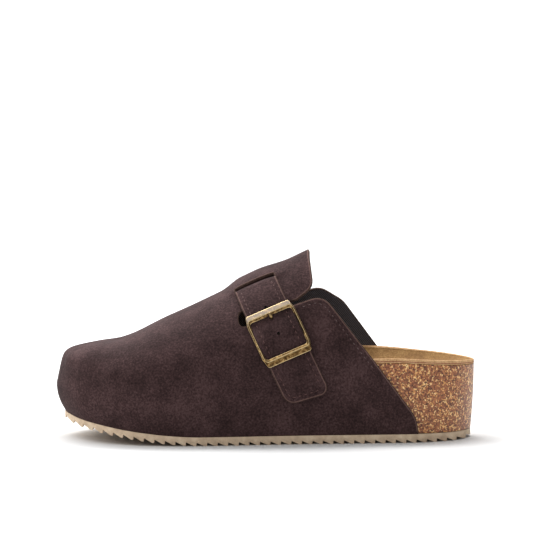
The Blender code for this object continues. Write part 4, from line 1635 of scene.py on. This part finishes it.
@dataclass(frozen=True)
class CorkMidsole:
    """The cork platform, hollowed on top for the foot."""

    last: Last
    inset: float = WALL + GAP

    def build(self, loop: Sequence[Column], finish: Material) -> None:
        """Lofts the platform through rings round the shoe.

        Args:
            loop: Columns all round the shoe.
            finish: The cork's material.
        """
        last = self.last
        rings = []
        for share in (1.0, 0.5, 0.12, 0.02):
            ring = []
            for column in loop:
                edge = column.wall(float(last.sole_top(column.x)), self.inset)
                point = edge + (np.array([column.spine_x, last.spine_y, 0.0]) - edge) * share
                point[2] = float(last.sole_top(point[0])) + GAP
                ring.append(point)
            rings.append(ring)
        for share in (0.0, 0.01, *np.linspace(0.05, 0.95, 16), 0.99, 1.0):
            ring = []
            for column in loop:
                low = float(last.sole_top(column.x)) + GAP
                high = column.rim() - INSOLE - GAP
                ring.append(column.wall(low + (high - low) * share, self.inset))
            rings.append(ring)
        for share in (0.01, *BED_RINGS):
            rings.append([c.footbed(share, self.inset, INSOLE + GAP) for c in loop])
        points = np.array([p for ring in rings for p in ring])
        mesh = welded_mesh("cork_platform", points, grid_faces(len(rings), len(loop), True))
        obj = linked("cork_platform", mesh, [finish])
        settle(obj, ["cork_midsole"])


@dataclass(frozen=True)
class SuedeFootbed:
    """The tan suede layer over the platform's hollow, whose cut edge shows as the rim."""

    last: Last
    inset: float = WALL + GAP
    rounding: float = 0.0006
    line_low: float = 0.0021
    line_high: float = 0.0016

    def build(self, loop: Sequence[Column], finishes: Sequence[Material]) -> None:
        """Lofts the layer through rings, from its underside over its cut edge to its middle.

        Args:
            loop: Columns all round the shoe.
            finishes: The suede, its cut edge and the glue line in that edge.
        """
        rings = [[c.footbed(s, self.inset, INSOLE) for c in loop] for s in reversed(BED_RINGS)]
        edge_start = len(rings)
        glue_line = edge_start + 2
        rings.append([c.wall(c.rim() - INSOLE, self.inset) for c in loop])
        for drop in (INSOLE - 0.0001, self.line_low, self.line_high):
            rings.append([c.wall(c.rim() - drop, self.inset) for c in loop])
        for step in np.linspace(0, math.pi / 2, 5):
            drop = self.rounding * (1 - math.sin(step))
            inset = self.inset + self.rounding * (1 - math.cos(step))
            rings.append([c.wall(c.rim() - drop, inset) for c in loop])
        edge_end = len(rings)
        rings += [[c.footbed(s, self.inset, 0.0) for c in loop] for s in BED_RINGS]
        points = np.array([p for ring in rings for p in ring])
        faces = grid_faces(len(rings), len(loop), True)
        ring_of = [i // len(loop) for i in range(len(faces))]
        slots = [1 if edge_start <= ring < edge_end else 0 for ring in ring_of]
        slots = [2 if ring == glue_line else slot for ring, slot in zip(ring_of, slots)]
        obj = linked("suede_footbed", welded_mesh("suede_footbed", points, faces, slots), finishes)
        settle(obj, ["insole"])


@dataclass(frozen=True)
class ToothedOutsole:
    """The foam sole with its saw-tooth tread."""

    last: Last
    tooth_pitch: float = 0.00631
    tooth_depth: float = 0.0021
    tooth_land: float = 0.0016
    first_tooth_x: float = -0.1237
    proud: float = 0.0005
    edge_softness: float = 0.00022
    tip_back: float = 0.0003
    covered_to_x: float = 0.1120
    cover_fade: float = 0.0300

    def side_view(self) -> np.ndarray:
        """The sole's outline from the side, teeth and top.

        Returns:
            Its points, one row each.
        """
        last = self.last
        points = []
        x = self.first_tooth_x - self.tooth_pitch
        while x < last.heel_end + self.tooth_pitch:
            notch = x
            land = x + self.tooth_pitch - self.tooth_land
            tip = x + self.tooth_pitch - self.tip_back
            points.append((notch, float(last.spring(notch)) + self.tooth_depth))
            points.append((land, float(last.spring(land))))
            points.append((tip, float(last.spring(tip))))
            x += self.tooth_pitch
        tops = np.linspace(last.heel_end + 0.006, last.toe_tip - 0.006, 90)
        return np.array(points + [(x, float(last.sole_top(x))) for x in tops])

    def build(self, loop: Sequence[Column], finish: Material) -> None:
        """Cuts the side view to the plan outline and softens its edges.

        Args:
            loop: Columns all round the shoe.
            finish: The foam's material.
        """
        whole = prism("toothed_outsole", self.side_view(), -0.07, 0.07, False)
        obj = linked("toothed_outsole", whole, [finish])
        outline = []
        for column in loop:
            covered = float(ease((self.covered_to_x - column.x) / self.cover_fade))
            out = self.proud * covered - (WALL + GAP) * (1 - covered)
            outline.append(column.base + column.out * out)
        plan = linked("sole_plan", prism("sole_plan", np.array(outline), -0.01, 0.03, True), [])
        cut(obj, plan, "INTERSECT")
        bevel = obj.modifiers.new("soft edges", "BEVEL")
        bevel.width = self.edge_softness
        bevel.segments = 2
        bevel.limit_method = "ANGLE"
        bevel.angle_limit = math.radians(28)
        applied(obj)
        obj.data.set_sharp_from_angle(angle=math.radians(40))
        settle(obj, ["outsole"])


@dataclass(frozen=True)
class InstepStrap:
    """The suede strap, from inside the medial ear, out through the slit and down through the buckle."""

    band: StrapBand
    start: float = -0.0460
    end: float = 0.1063
    end_slant: float = 0.25
    end_radius: float = 0.0055
    buckle_squeeze: float = -0.0002
    buckle_shift: float = 0.0005
    hole_radius: float = 0.00090
    hole_pitch: float = 0.0093
    pin_hole_u: float = -0.0090
    pin_hole_shift: float = -0.0012
    pin_hole_radius: float = 0.0013
    edge_rounding: float = 0.0005
    seam_inset: float = 0.0030
    buckle_shade_reach: float = 0.0122
    stretch_start: float = 0.0800
    seam_start: float = 0.0300
    seam_corner: float = 0.0040
    fine_to: float = 0.0021
    fine_step: float = 0.0003
    coarse_step: float = 0.0010
    coarse_columns: tuple[float, ...] = (
        *(0.0032, 0.0046, 0.0060, 0.0074),
        *(0.0088, 0.0100, 0.0110, 0.0118, 0.0124),
    )

    def holes(self) -> list[tuple[float, float]]:
        """Each punched hole's distance down the strap, with its radius.

        Returns:
            A distance and a radius a hole.
        """
        first = self.band.buckle_at + self.pin_hole_u
        plain = [(first + k * self.hole_pitch, self.hole_radius) for k in (-1, 1)]
        return [plain[0], (first + self.pin_hole_shift, self.pin_hole_radius), plain[1]]

    def half_width(self, arc: float) -> float:
        """Half the strap's width, which the buckle squeezes a little."""
        squeezed = float(ease((0.0180 - abs(arc - self.band.buckle_at)) / 0.0060))
        return self.band.width / 2 - self.buckle_squeeze * squeezed

    def shift(self, place: float) -> float:
        """How far the strap sits over to the heel side where the buckle holds it."""
        return self.buckle_shift * float(ease((0.0200 - abs(place - self.band.buckle_at)) / 0.0100))

    def stretch(self, arc: float) -> float:
        """How much of the end's slant and rounding a place along the strap takes."""
        return float(ease((arc - self.stretch_start) / (self.end - self.stretch_start)))

    def place(self, arc: float, across: float, half: float) -> float:
        """Where a point of the plain band goes along the strap, so that its end is slanted and rounded.

        Args:
            arc: Its distance down the plain band.
            across: Its distance from the strap's middle.
            half: Half the strap's width there.

        Returns:
            Its distance down the strap.
        """
        corner = max(abs(across) - (half - self.end_radius), 0.0)
        rounding = self.end_radius - math.sqrt(max(self.end_radius**2 - corner**2, 0.0))
        return arc + (self.end_slant * across - rounding) * self.stretch(arc)

    def build(self, wrapping: Wrapping) -> Sheet:
        """Lays the strap's outer face over the upper and punches its holes.

        Args:
            wrapping: The upper's outside under the strap.

        Returns:
            The outer face.
        """
        band = self.band
        fine = np.arange(-self.fine_to, self.fine_to + self.fine_step / 10, self.fine_step)
        coarse = np.array([*self.coarse_columns, band.width / 2])
        acrosses = np.concatenate([-coarse[::-1], fine, coarse])
        arcs = set(np.round(np.arange(self.start, self.end, self.coarse_step), 6))
        for centre, radius in self.holes():
            arcs = {a for a in arcs if abs(a - centre) > radius + self.coarse_step}
            arcs |= set(np.round(centre + np.arange(-radius - 0.0006, radius + 0.0007, self.fine_step), 6))
        arcs |= set(np.round(np.linspace(self.end - 0.006, self.end, 12), 6))
        stations = sorted(arcs)
        middle = np.empty((len(stations), len(acrosses), 3))
        pattern = np.empty((len(stations), len(acrosses), 2))
        for i, arc in enumerate(stations):
            half = self.half_width(arc)
            for j, across in enumerate(acrosses * (half / (band.width / 2))):
                place = self.place(arc, across, half)
                side = band.centre + across + self.shift(place)
                middle[i, j] = wrapping.point(side, place, band.height(place))
                pattern[i, j] = (place, across)
        down = np.gradient(middle, axis=0)
        over = np.gradient(middle, axis=1)
        normal = np.cross(down, over)
        normal /= np.linalg.norm(normal, axis=2)[:, :, None]
        outer = middle + normal * (band.thickness / 2)
        faces = [tuple(reversed(face)) for face in grid_faces(len(stations), len(acrosses), False)]
        sheet = Sheet(outer.reshape(-1, 3), normal.reshape(-1, 3), pattern.reshape(-1, 2), faces)
        sheet = sheet.measured(lambda place: np.ones(len(place), bool))
        for centre, radius in self.holes():
            sheet = sheet.trimmed(np.hypot(sheet.pattern[:, 0] - centre, sheet.pattern[:, 1]) - radius)
        # In the buckle's window the strap's edges aren't lightened: painted shade under the frame.
        covered = ease((self.buckle_shade_reach - np.abs(sheet.pattern[:, 0] - band.buckle_at)) / 0.0010)
        sheet.edge = sheet.edge + FAR * covered * (np.abs(sheet.pattern[:, 1]) > band.width / 4)
        return sheet

    def dress(self, sheet: Sheet, materials: Sequence[Material]) -> None:
        """Gives the strap its thickness and finishes. Its edges in the buckle's window get painted shade:
        the outside suede and no rubbed light edge.

        Args:
            sheet: The outer face.
            materials: Suede, cut edge, inside, and near-black painted shade for the walls of the punched
                holes.
        """
        shell = sheet.shell(self.band.thickness, self.edge_rounding)
        # Cut edges in the buckle's window get the darker outside suede as painted shade.
        for i, face in enumerate(shell.faces):
            if shell.slots[i] == Face.CUT_EDGE.value:
                arc, across = np.abs(shell.pattern[face[0]] - (self.band.buckle_at, 0.0))
                if arc < self.buckle_shade_reach and across > self.band.width / 4:
                    shell.slots[i] = Face.OUTSIDE.value
        # Walls of the punched holes get the near-black painted shade.
        for centre, radius in self.holes():
            away = np.hypot(shell.pattern[:, 0] - centre, shell.pattern[:, 1]) - radius
            for i, face in enumerate(shell.faces):
                if shell.slots[i] == Face.CUT_EDGE.value and max(away[list(face)]) < self.hole_pitch / 4:
                    shell.slots[i] = Face.HOLE_WALL.value
        obj = shell.object("suede_strap", materials)
        settle(obj, ["strap"])

    def seam(self, wrapping: Wrapping) -> np.ndarray:
        """The line that the strap's stitches follow, down one side, round the end and up the other.

        Args:
            wrapping: The upper's outside under the strap.

        Returns:
            The line's points, one row each.
        """
        band = self.band
        side = band.width / 2 - self.seam_inset
        low = self.end - self.seam_inset
        corner = self.seam_corner
        straight = np.arange(self.seam_start, low - corner - 0.004, 0.0015)
        flat: list[tuple[float, float]] = [(a, -side) for a in straight]
        for t in np.linspace(0, math.pi / 2, 8):
            flat.append((low - corner + corner * math.sin(t), -side + corner * (1 - math.cos(t))))
        mirrored = [(a, -w) for a, w in reversed(flat)]
        points = []
        for arc, across in flat + mirrored:
            place = arc + self.end_slant * across * self.stretch(arc)
            side_at = band.centre + across + self.shift(place)
            points.append(wrapping.point(side_at, place, band.height(place) + band.thickness / 2))
        return np.array(points)


@dataclass(frozen=True)
class PinBuckle:
    """The brass buckle: a bevelled frame with a hinge bar under the strap, and its pin."""

    band: StrapBand
    half_length: float = 0.0170
    half_width: float = 0.0140
    mid_half_width: float = 0.0156
    mid_half_length: float = 0.0110
    window_half_length: float = 0.0122
    window_half_width: float = 0.0136
    base: float = 0.0026
    bow: float = 0.0008
    height: float = 0.0019
    bar_radius: float = 0.0007
    bar_height: float = 0.0024
    pin_radius: float = 0.0007
    pin_tip_radius: float = 0.00098
    pin_worn: float = 0.2
    inner_rounding: float = 0.0024
    crest_rounding: float = 0.0026
    outer_rounding: float = 0.0018
    end_straight: float = 0.004
    notch_radius: float = 0.0014
    notch_u: float = -0.0122
    chord: float = 0.0120
    softness: float = 0.00014
    rubbed_reach: float = 0.00050
    upper_facet_rings: tuple[int, ...] = (14, 15)
    upper_facet_reflection: float = 0.55
    pin_route: tuple[tuple[float, float], ...] = (
        (-0.0017, 0.0024),
        (-0.0045, 0.0014),
        (-0.0078, 0.0009),
        (-0.0096, 0.0014),
        (-0.0103, 0.0028),
        (-0.0114, 0.0044),
        (-0.0140, 0.0050),
    )

    def matrix(self, wrapping: Wrapping) -> Matrix:
        """The buckle's own frame: u down the strap, w towards the heel, n outwards.

        Args:
            wrapping: The upper's outside under the strap.

        Returns:
            The matrix from that frame to the shoe's.
        """
        centre, at = self.band.centre, self.band.buckle_at
        here = wrapping.point(centre, at, 0.0)
        down = wrapping.point(centre, at + self.chord, 0.0) - wrapping.point(centre, at - self.chord, 0.0)
        over = wrapping.point(centre + self.chord, at, 0.0) - wrapping.point(centre - self.chord, at, 0.0)
        u = Vector(down).normalized()
        n = Vector(over).cross(u).normalized()
        if n.y > 0:
            n = -n
        w = u.cross(n) if u.cross(n).x > 0 else n.cross(u)
        rows = [(u[k], w[k], n[k], here[k]) for k in range(3)]
        return Matrix((*rows, (0, 0, 0, 1)))

    def loop(
        self, length: float, width: float, mid_length: float, mid_width: float, rounding: float
    ) -> np.ndarray:
        """A closed outline round the buckle, with straight ends and sides that stand wider in the middle.

        Args:
            length: Half its length.
            width: Half its width at the ends.
            mid_length: Half the length of its straight sides.
            mid_width: Half its width at the middle.
            rounding: Radius of its end corners.

        Returns:
            The outline's points, one row each.
        """
        quarter = (
            Corner(length, width - self.end_straight, 0.0),
            Corner(length, width, rounding),
            Corner(mid_length, mid_width, 0.003),
            Corner(0.0, mid_width, 0.0),
        )
        points = [(length, 0.0), *map(tuple, rounded_corners(quarter, 6))]
        side = points + [(-u, w) for u, w in reversed(points[:-1])]
        return np.array(side + [(u, -w) for u, w in reversed(side[1:-1])])

    def step(self, away: np.ndarray, reach: float) -> np.ndarray:
        """A step from each point towards its neighbour, two fifths of the whole way at most."""
        length = np.linalg.norm(away, axis=1)[:, None]
        return away * np.minimum(reach / length, 0.4)

    def build_frame(self, matrix: Matrix, finish: Material) -> None:
        """Builds the frame: gabled bars round a window, the pin's notch and the hinge bar.

        Args:
            matrix: The buckle's own frame.
            finish: The brass.
        """
        middle_u = (self.window_half_length + self.half_length) / 2 - 0.0008
        middle_w = (self.window_half_width + self.mid_half_width) / 2
        window = (self.window_half_length, self.window_half_width)
        mid_length = self.window_half_length - self.end_straight
        inner = self.loop(*window, mid_length, self.window_half_width, self.inner_rounding)
        mid_length = self.mid_half_length - 0.001
        crest = self.loop(middle_u, middle_w - 0.0004, mid_length, middle_w, self.crest_rounding)
        ends = (self.half_length, self.half_width)
        outer = self.loop(*ends, self.mid_half_length, self.mid_half_width, self.outer_rounding)
        layers = []
        for outline, share in ((inner, 0.0), (inner, 0.55), (crest, 1.0), (outer, 0.45), (outer, 0.0)):
            level = self.base - self.bow * (outline[:, 0] / self.half_length) ** 2 + self.height * share
            layers.append(np.column_stack([outline, level]))
        rings = []
        worn = []
        for k, here in enumerate(layers):
            rubbed = 1.0 if k in (1, 2, 3) else 0.0
            back = layers[k - 1] - here
            ahead = layers[(k + 1) % len(layers)] - here
            near_back = here + self.step(back, self.softness)
            near_ahead = here + self.step(ahead, self.softness)
            rings.append(here + self.step(back, self.rubbed_reach))
            rings.append(near_back)
            rings.append(here * 0.4 + (near_back + near_ahead) * 0.3)
            rings.append(near_ahead)
            rings.append(here + self.step(ahead, self.rubbed_reach))
            worn += [0.0, 0.8 * rubbed, rubbed, 0.8 * rubbed, 0.0]
        count = len(inner)
        points = [matrix @ Vector(place) for ring in rings for place in ring]
        faces = []
        for r in range(len(rings)):
            s = (r + 1) % len(rings)
            for c in range(count):
                d = (c + 1) % count
                faces.append((r * count + c, r * count + d, s * count + d, s * count + c))
        mesh = bpy.data.meshes.new("brass_buckle_frame")
        mesh.from_pydata([tuple(p) for p in points], [], faces)
        worn = np.repeat(worn, count).reshape(-1, count)
        # The upper bar's upward facet gets a painted reflection of the light above, in a pale tone.
        painted_reflection = np.zeros_like(worn)
        for k in self.upper_facet_rings:
            painted_reflection[k] = np.where(rings[k][:, 0] < -self.window_half_length, self.upper_facet_reflection, 0.0)
        mesh.attributes.new("worn", "FLOAT", "POINT").data.foreach_set("value", worn.ravel())
        mesh.attributes.new("painted_reflection", "FLOAT", "POINT").data.foreach_set("value", painted_reflection.ravel())
        with edited(mesh) as bm:
            bmesh.ops.recalc_face_normals(bm, faces=bm.faces)
        obj = linked("brass_buckle_frame", mesh, [finish])
        length = 2 * (self.mid_half_width - 0.0010)
        bar = self.rod("hinge_bar", self.bar_radius, length, 16)
        level = Matrix.Translation((0, 0, self.bar_height))
        bar.matrix_world = matrix @ level @ Matrix.Rotation(math.pi / 2, 4, "X")
        bpy.context.view_layer.update()
        cut(obj, bar, "UNION")
        notch = self.rod("pin_notch", self.notch_radius, 0.010, 28)
        level = Matrix.Translation((self.notch_u, 0, self.base))
        notch.matrix_world = matrix @ level @ Matrix.Rotation(0.1, 4, "Z")
        bpy.context.view_layer.update()
        cut(obj, notch, "DIFFERENCE")
        with edited(obj.data) as bm:
            bmesh.ops.remove_doubles(bm, verts=bm.verts, dist=4 * WELD)
            bmesh.ops.dissolve_degenerate(bm, edges=bm.edges, dist=2 * WELD)
        obj.data.set_sharp_from_angle(angle=math.radians(32))
        settle(obj, ["buckle_frame"])

    def rod(self, name: str, radius: float, length: float, sides: int) -> Object:
        """A capped rod along its own Z.

        Args:
            name: Its name.
            radius: Its radius.
            length: Its length.
            sides: How many sides it has.

        Returns:
            The rod.
        """
        mesh = bpy.data.meshes.new(name)
        size = {"segments": sides, "radius1": radius, "radius2": radius, "depth": length}
        with edited(mesh) as bm:
            bmesh.ops.create_cone(bm, cap_ends=True, cap_tris=False, **size)
        return linked(name, mesh, [])

    def build_pin(self, matrix: Matrix, finish: Material) -> None:
        """Builds the pin as a tube along its route, with a rounded tip.

        Args:
            matrix: The buckle's own frame.
            finish: The brass.
        """
        count = len(self.pin_route)
        u_of, n_of = (SmoothCurve(range(count), row) for row in zip(*self.pin_route))
        ts = np.linspace(0, count - 1, 40)
        path = np.stack([u_of(ts), np.zeros_like(ts), n_of(ts)], axis=1)
        along = np.gradient(path, axis=0)
        along /= np.linalg.norm(along, axis=1)[:, None]
        arc = arc_lengths(path)
        above_strap = ease((path[:, 2] - 0.0028) / 0.0016)
        full = self.pin_radius + (self.pin_tip_radius - self.pin_radius) * above_strap
        left = np.clip((arc[-1] - arc) / self.pin_tip_radius, 0.0, 1.0)
        start = np.clip(arc / (0.6 * self.pin_radius), 0.0, 1.0)
        radii = full * np.sqrt(1 - (1 - left) ** 2) * np.sqrt(1 - (1 - start) ** 2)
        side = np.array([0.0, 1.0, 0.0])
        points = []
        for here, direction, radius in zip(path, along, np.maximum(radii, 1e-7)):
            other = np.cross(direction, side)
            for angle in np.linspace(0, 2 * math.pi, 16, endpoint=False):
                place = here + radius * (side * math.cos(angle) + other * math.sin(angle))
                points.append(matrix @ Vector(place))
        faces = grid_faces(len(path), 16, True)
        mesh = welded_mesh("brass_buckle_pin", np.array(points), faces)
        worn = [self.pin_worn] * len(mesh.vertices)
        mesh.attributes.new("worn", "FLOAT", "POINT").data.foreach_set("value", worn)
        obj = linked("brass_buckle_pin", mesh, [finish])
        settle(obj, ["buckle_prong"])


@dataclass(frozen=True)
class StitchRun:
    """A row of thread stitches, laid along a path by a Geometry Nodes tree."""

    name: str
    pitch: float
    length: float
    thickness: float
    seed: int = 11

    def tree(self) -> NodeTree:
        """Makes the tree: points on a path at the pitch, a small bead of thread on each, made real.

        Returns:
            The tree.
        """
        tree = bpy.data.node_groups.new(f"{self.name}_layout", "GeometryNodeTree")
        face = tree.interface
        face.new_socket("Path", in_out="INPUT", socket_type="NodeSocketGeometry")
        for name in ("Pitch", "Length", "Thickness"):
            face.new_socket(name, in_out="INPUT", socket_type="NodeSocketFloat")
        face.new_socket("Seed", in_out="INPUT", socket_type="NodeSocketInt")
        face.new_socket("Thread", in_out="INPUT", socket_type="NodeSocketMaterial")
        face.new_socket("Stitches", in_out="OUTPUT", socket_type="NodeSocketGeometry")
        given = add_node(tree, "NodeGroupInput").outputs
        curve = add_node(tree, "GeometryNodeMeshToCurve", links={"Mesh": given["Path"]})
        spacing = {"Curve": curve.outputs[0], "Length": given["Pitch"]}
        points = add_node(tree, "GeometryNodeCurveToPoints", {"mode": "LENGTH"}, spacing)
        tangent = {"Vector": points.outputs["Tangent"]}
        turned = add_node(tree, "FunctionNodeAlignRotationToVector", {"axis": "X"}, tangent)
        bead = add_node(tree, "GeometryNodeMeshUVSphere", links={"Segments": 8, "Rings": 5, "Radius": 0.5})
        smooth = add_node(tree, "GeometryNodeSetShadeSmooth", links={0: bead.outputs["Mesh"]})
        spread = {2: 0.88, 3: 1.12, "Seed": given["Seed"]}
        varied = add_node(tree, "FunctionNodeRandomValue", {"data_type": "FLOAT"}, spread)
        sizes = {"X": given["Length"], "Y": given["Thickness"], "Z": given["Thickness"]}
        size = add_node(tree, "ShaderNodeCombineXYZ", links=sizes)
        growth = {0: size.outputs[0], "Scale": varied.outputs[1]}
        scaled = add_node(tree, "ShaderNodeVectorMath", {"operation": "SCALE"}, growth)
        laid = {
            "Points": points.outputs["Points"],
            "Instance": smooth.outputs[0],
            "Rotation": turned.outputs[0],
            "Scale": scaled.outputs[0],
        }
        placed = add_node(tree, "GeometryNodeInstanceOnPoints", links=laid)
        real = add_node(tree, "GeometryNodeRealizeInstances", links={0: placed.outputs[0]})
        finish = {"Geometry": real.outputs[0], "Material": given["Thread"]}
        dressed = add_node(tree, "GeometryNodeSetMaterial", links=finish)
        add_node(tree, "NodeGroupOutput", links={"Stitches": dressed.outputs[0]})
        return tree

    def build(self, path: np.ndarray, thread: Material) -> None:
        """Lays the stitches.

        Args:
            path: The line that the stitches follow, one row a point.
            thread: The thread's material.
        """
        edges = [(k, k + 1) for k in range(len(path) - 1)]
        mesh = bpy.data.meshes.new(self.name)
        mesh.from_pydata(path.tolist(), edges, [])
        obj = bpy.data.objects.new(self.name, mesh)
        modifier = obj.modifiers.new("stitches", "NODES")
        modifier.node_group = self.tree()
        values = {
            "Pitch": self.pitch,
            "Length": self.length,
            "Thickness": self.thickness,
            "Seed": self.seed,
            "Thread": thread,
        }
        for item in modifier.node_group.interface.items_tree:
            if item.in_out == "INPUT" and item.name in values:
                modifier[item.identifier] = values[item.name]
        bpy.context.scene.collection.objects.link(obj)
        applied(obj)
        settle(obj, [])


@dataclass(frozen=True)
class SoftBox:
    """A square soft light: where it stands and points, its side in metres and its power in watts."""

    name: str
    place: tuple[float, float, float]
    target: tuple[float, float, float]
    size: float
    power: float


@dataclass(frozen=True)
class Studio:
    """A plain white sweep, soft light from above and the front, and the camera."""

    aim_z: float = 0.1049
    distance: float = 1.4
    elevation: float = 3.0
    lens: float = 153.3
    floor_colour: str = "#d6d6d6"
    world_strength: float = 0.42
    sweep_start: float = 1.6
    sweep_radius: float = 0.6
    sweep_reach: float = 4.0
    lights: tuple[SoftBox, ...] = (
        SoftBox("top_softbox", (-0.62, 0.42, 1.00), (0.0, 0.0, 0.05), 1.9, 30.0),
        SoftBox("front_softbox", (-0.70, -1.50, 0.80), (0.0, 0.0, 0.05), 0.9, 3.0),
        SoftBox("backdrop_softbox", (0.0, 0.70, 1.70), (0.0, 2.05, 0.20), 1.4, 54.0),
    )

    def build_sweep(self) -> None:
        """Builds the floor and the backdrop that it curves up into."""
        start, radius, reach = self.sweep_start, self.sweep_radius, self.sweep_reach
        profile = [(-reach, 0.0), (-1.0, 0.0), (start, 0.0)]
        for t in np.linspace(0, math.pi / 2, 13)[1:]:
            profile.append((start + radius * math.sin(t), radius * (1 - math.cos(t))))
        profile.append((start + radius, reach))
        points = [(x, y, z) for y, z in profile for x in (-reach, reach)]
        faces = [(2 * i, 2 * i + 1, 2 * i + 3, 2 * i + 2) for i in range(len(profile) - 1)]
        mesh = bpy.data.meshes.new("studio_sweep")
        mesh.from_pydata(points, [], faces)
        values = {"Base Color": linear(self.floor_colour), "Roughness": 0.9, "Specular IOR Level": 0.1}
        obj = linked("studio_sweep", mesh, [shaded(blank_material("matt_white_paper")[0], values)])

    def build_lights(self) -> None:
        """Sets the world and the soft boxes."""
        scene = bpy.context.scene
        world = bpy.data.worlds.new("soft_white")
        world.use_nodes = True
        sky = {"Color": (1.0, 1.0, 1.0, 1.0), "Strength": self.world_strength}
        connect(world.node_tree, world.node_tree.nodes["Background"], sky)
        scene.world = world
        for box in self.lights:
            lamp = bpy.data.lights.new(box.name, "AREA")
            lamp.size = box.size
            lamp.energy = box.power
            obj = bpy.data.objects.new(box.name, lamp)
            obj.location = box.place
            towards = Vector(box.target) - Vector(box.place)
            obj.rotation_mode = "QUATERNION"
            obj.rotation_quaternion = towards.to_track_quat("-Z", "Y")
            scene.collection.objects.link(obj)
        scene.view_settings.view_transform = "Standard"

    def build_camera(self) -> None:
        """Builds the camera at the photograph's place."""
        lens = bpy.data.cameras.new("camera")
        lens.lens = self.lens
        lens.sensor_width = 36.0
        lens.clip_start = 0.05
        camera = bpy.data.objects.new("camera", lens)
        tilt = math.radians(self.elevation)
        camera.location = (0.0, -self.distance * math.cos(tilt), self.aim_z + self.distance * math.sin(tilt))
        camera.rotation_euler = (math.pi / 2 - tilt, 0.0, 0.0)
        bpy.context.scene.collection.objects.link(camera)
        bpy.context.scene.camera = camera


def main() -> None:
    """Builds the shoe's pieces in order."""
    logging.basicConfig(level=logging.INFO, format="%(name)s %(message)s")
    last = Last()
    band = StrapBand(last)
    suede = NappedSuede("dark_brown_suede", "#261919", "#3b2a2a", "#543f3f", rubbed="#7e625b").material()
    raw_edge = NappedSuede("raw_suede_edge", "#36281f", "#493832", "#604d47", 4.0, 0.7).material()
    # The punched holes' walls are near black: painted shade for the dark inside of each hole.
    hole_shade = NappedSuede("painted_shade_hole_wall", "#050303", "#080505", "#0c0808", 4.0, 0.7).material()
    lining = TwillLining().material()
    brass = AntiqueBrass().material()
    studio = Studio()
    studio.build_sweep()
    studio.build_lights()
    studio.build_camera()

    upper = SuedeUpper(last, band)
    whole = upper.whole()
    wrapping = Wrapping(band, whole.place, whole.faces)
    outside = upper.build(whole, wrapping)
    upper.dress(outside, [suede, raw_edge, lining])

    loop = last.columns(110, 61, 45)
    CorkMidsole(last).build(loop, GranulatedCork().material())
    footbed = NappedSuede("tan_footbed_suede", "#6e4f31", "#87663f", "#a58456", 10.0, 1.0, 0.9).material()
    footbed_edge = NappedSuede("footbed_cut_edge", "#ae855b", "#cda377", "#e8c396", 3.0, 0.8, 0.9).material()
    glue_line = NappedSuede("reddish_glue_line", "#6e4030", "#8f5a44", "#a8745c", 3.0, 0.6, 0.8).material()
    SuedeFootbed(last).build(loop, [footbed, footbed_edge, glue_line])
    ToothedOutsole(last).build(loop, SoleFoam().material())

    strap = InstepStrap(band)
    strap.dress(strap.build(wrapping), [suede, raw_edge, raw_edge, hole_shade])
    buckle = PinBuckle(band)
    matrix = buckle.matrix(wrapping)
    buckle.build_frame(matrix, brass)
    buckle.build_pin(matrix, brass)
    thread = Thread("reddish_brown_thread", "#593a36").material()
    StitchRun("strap_stitches", 0.0035, 0.0020, 0.0005).build(strap.seam(wrapping), thread)
    brown_thread = Thread("dark_brown_thread", "#5c4a48").material()
    StitchRun("ear_stitches", 0.0034, 0.0016, 0.00045).build(upper.seam(outside), brown_thread)


if __name__ == "__main__":
    main()
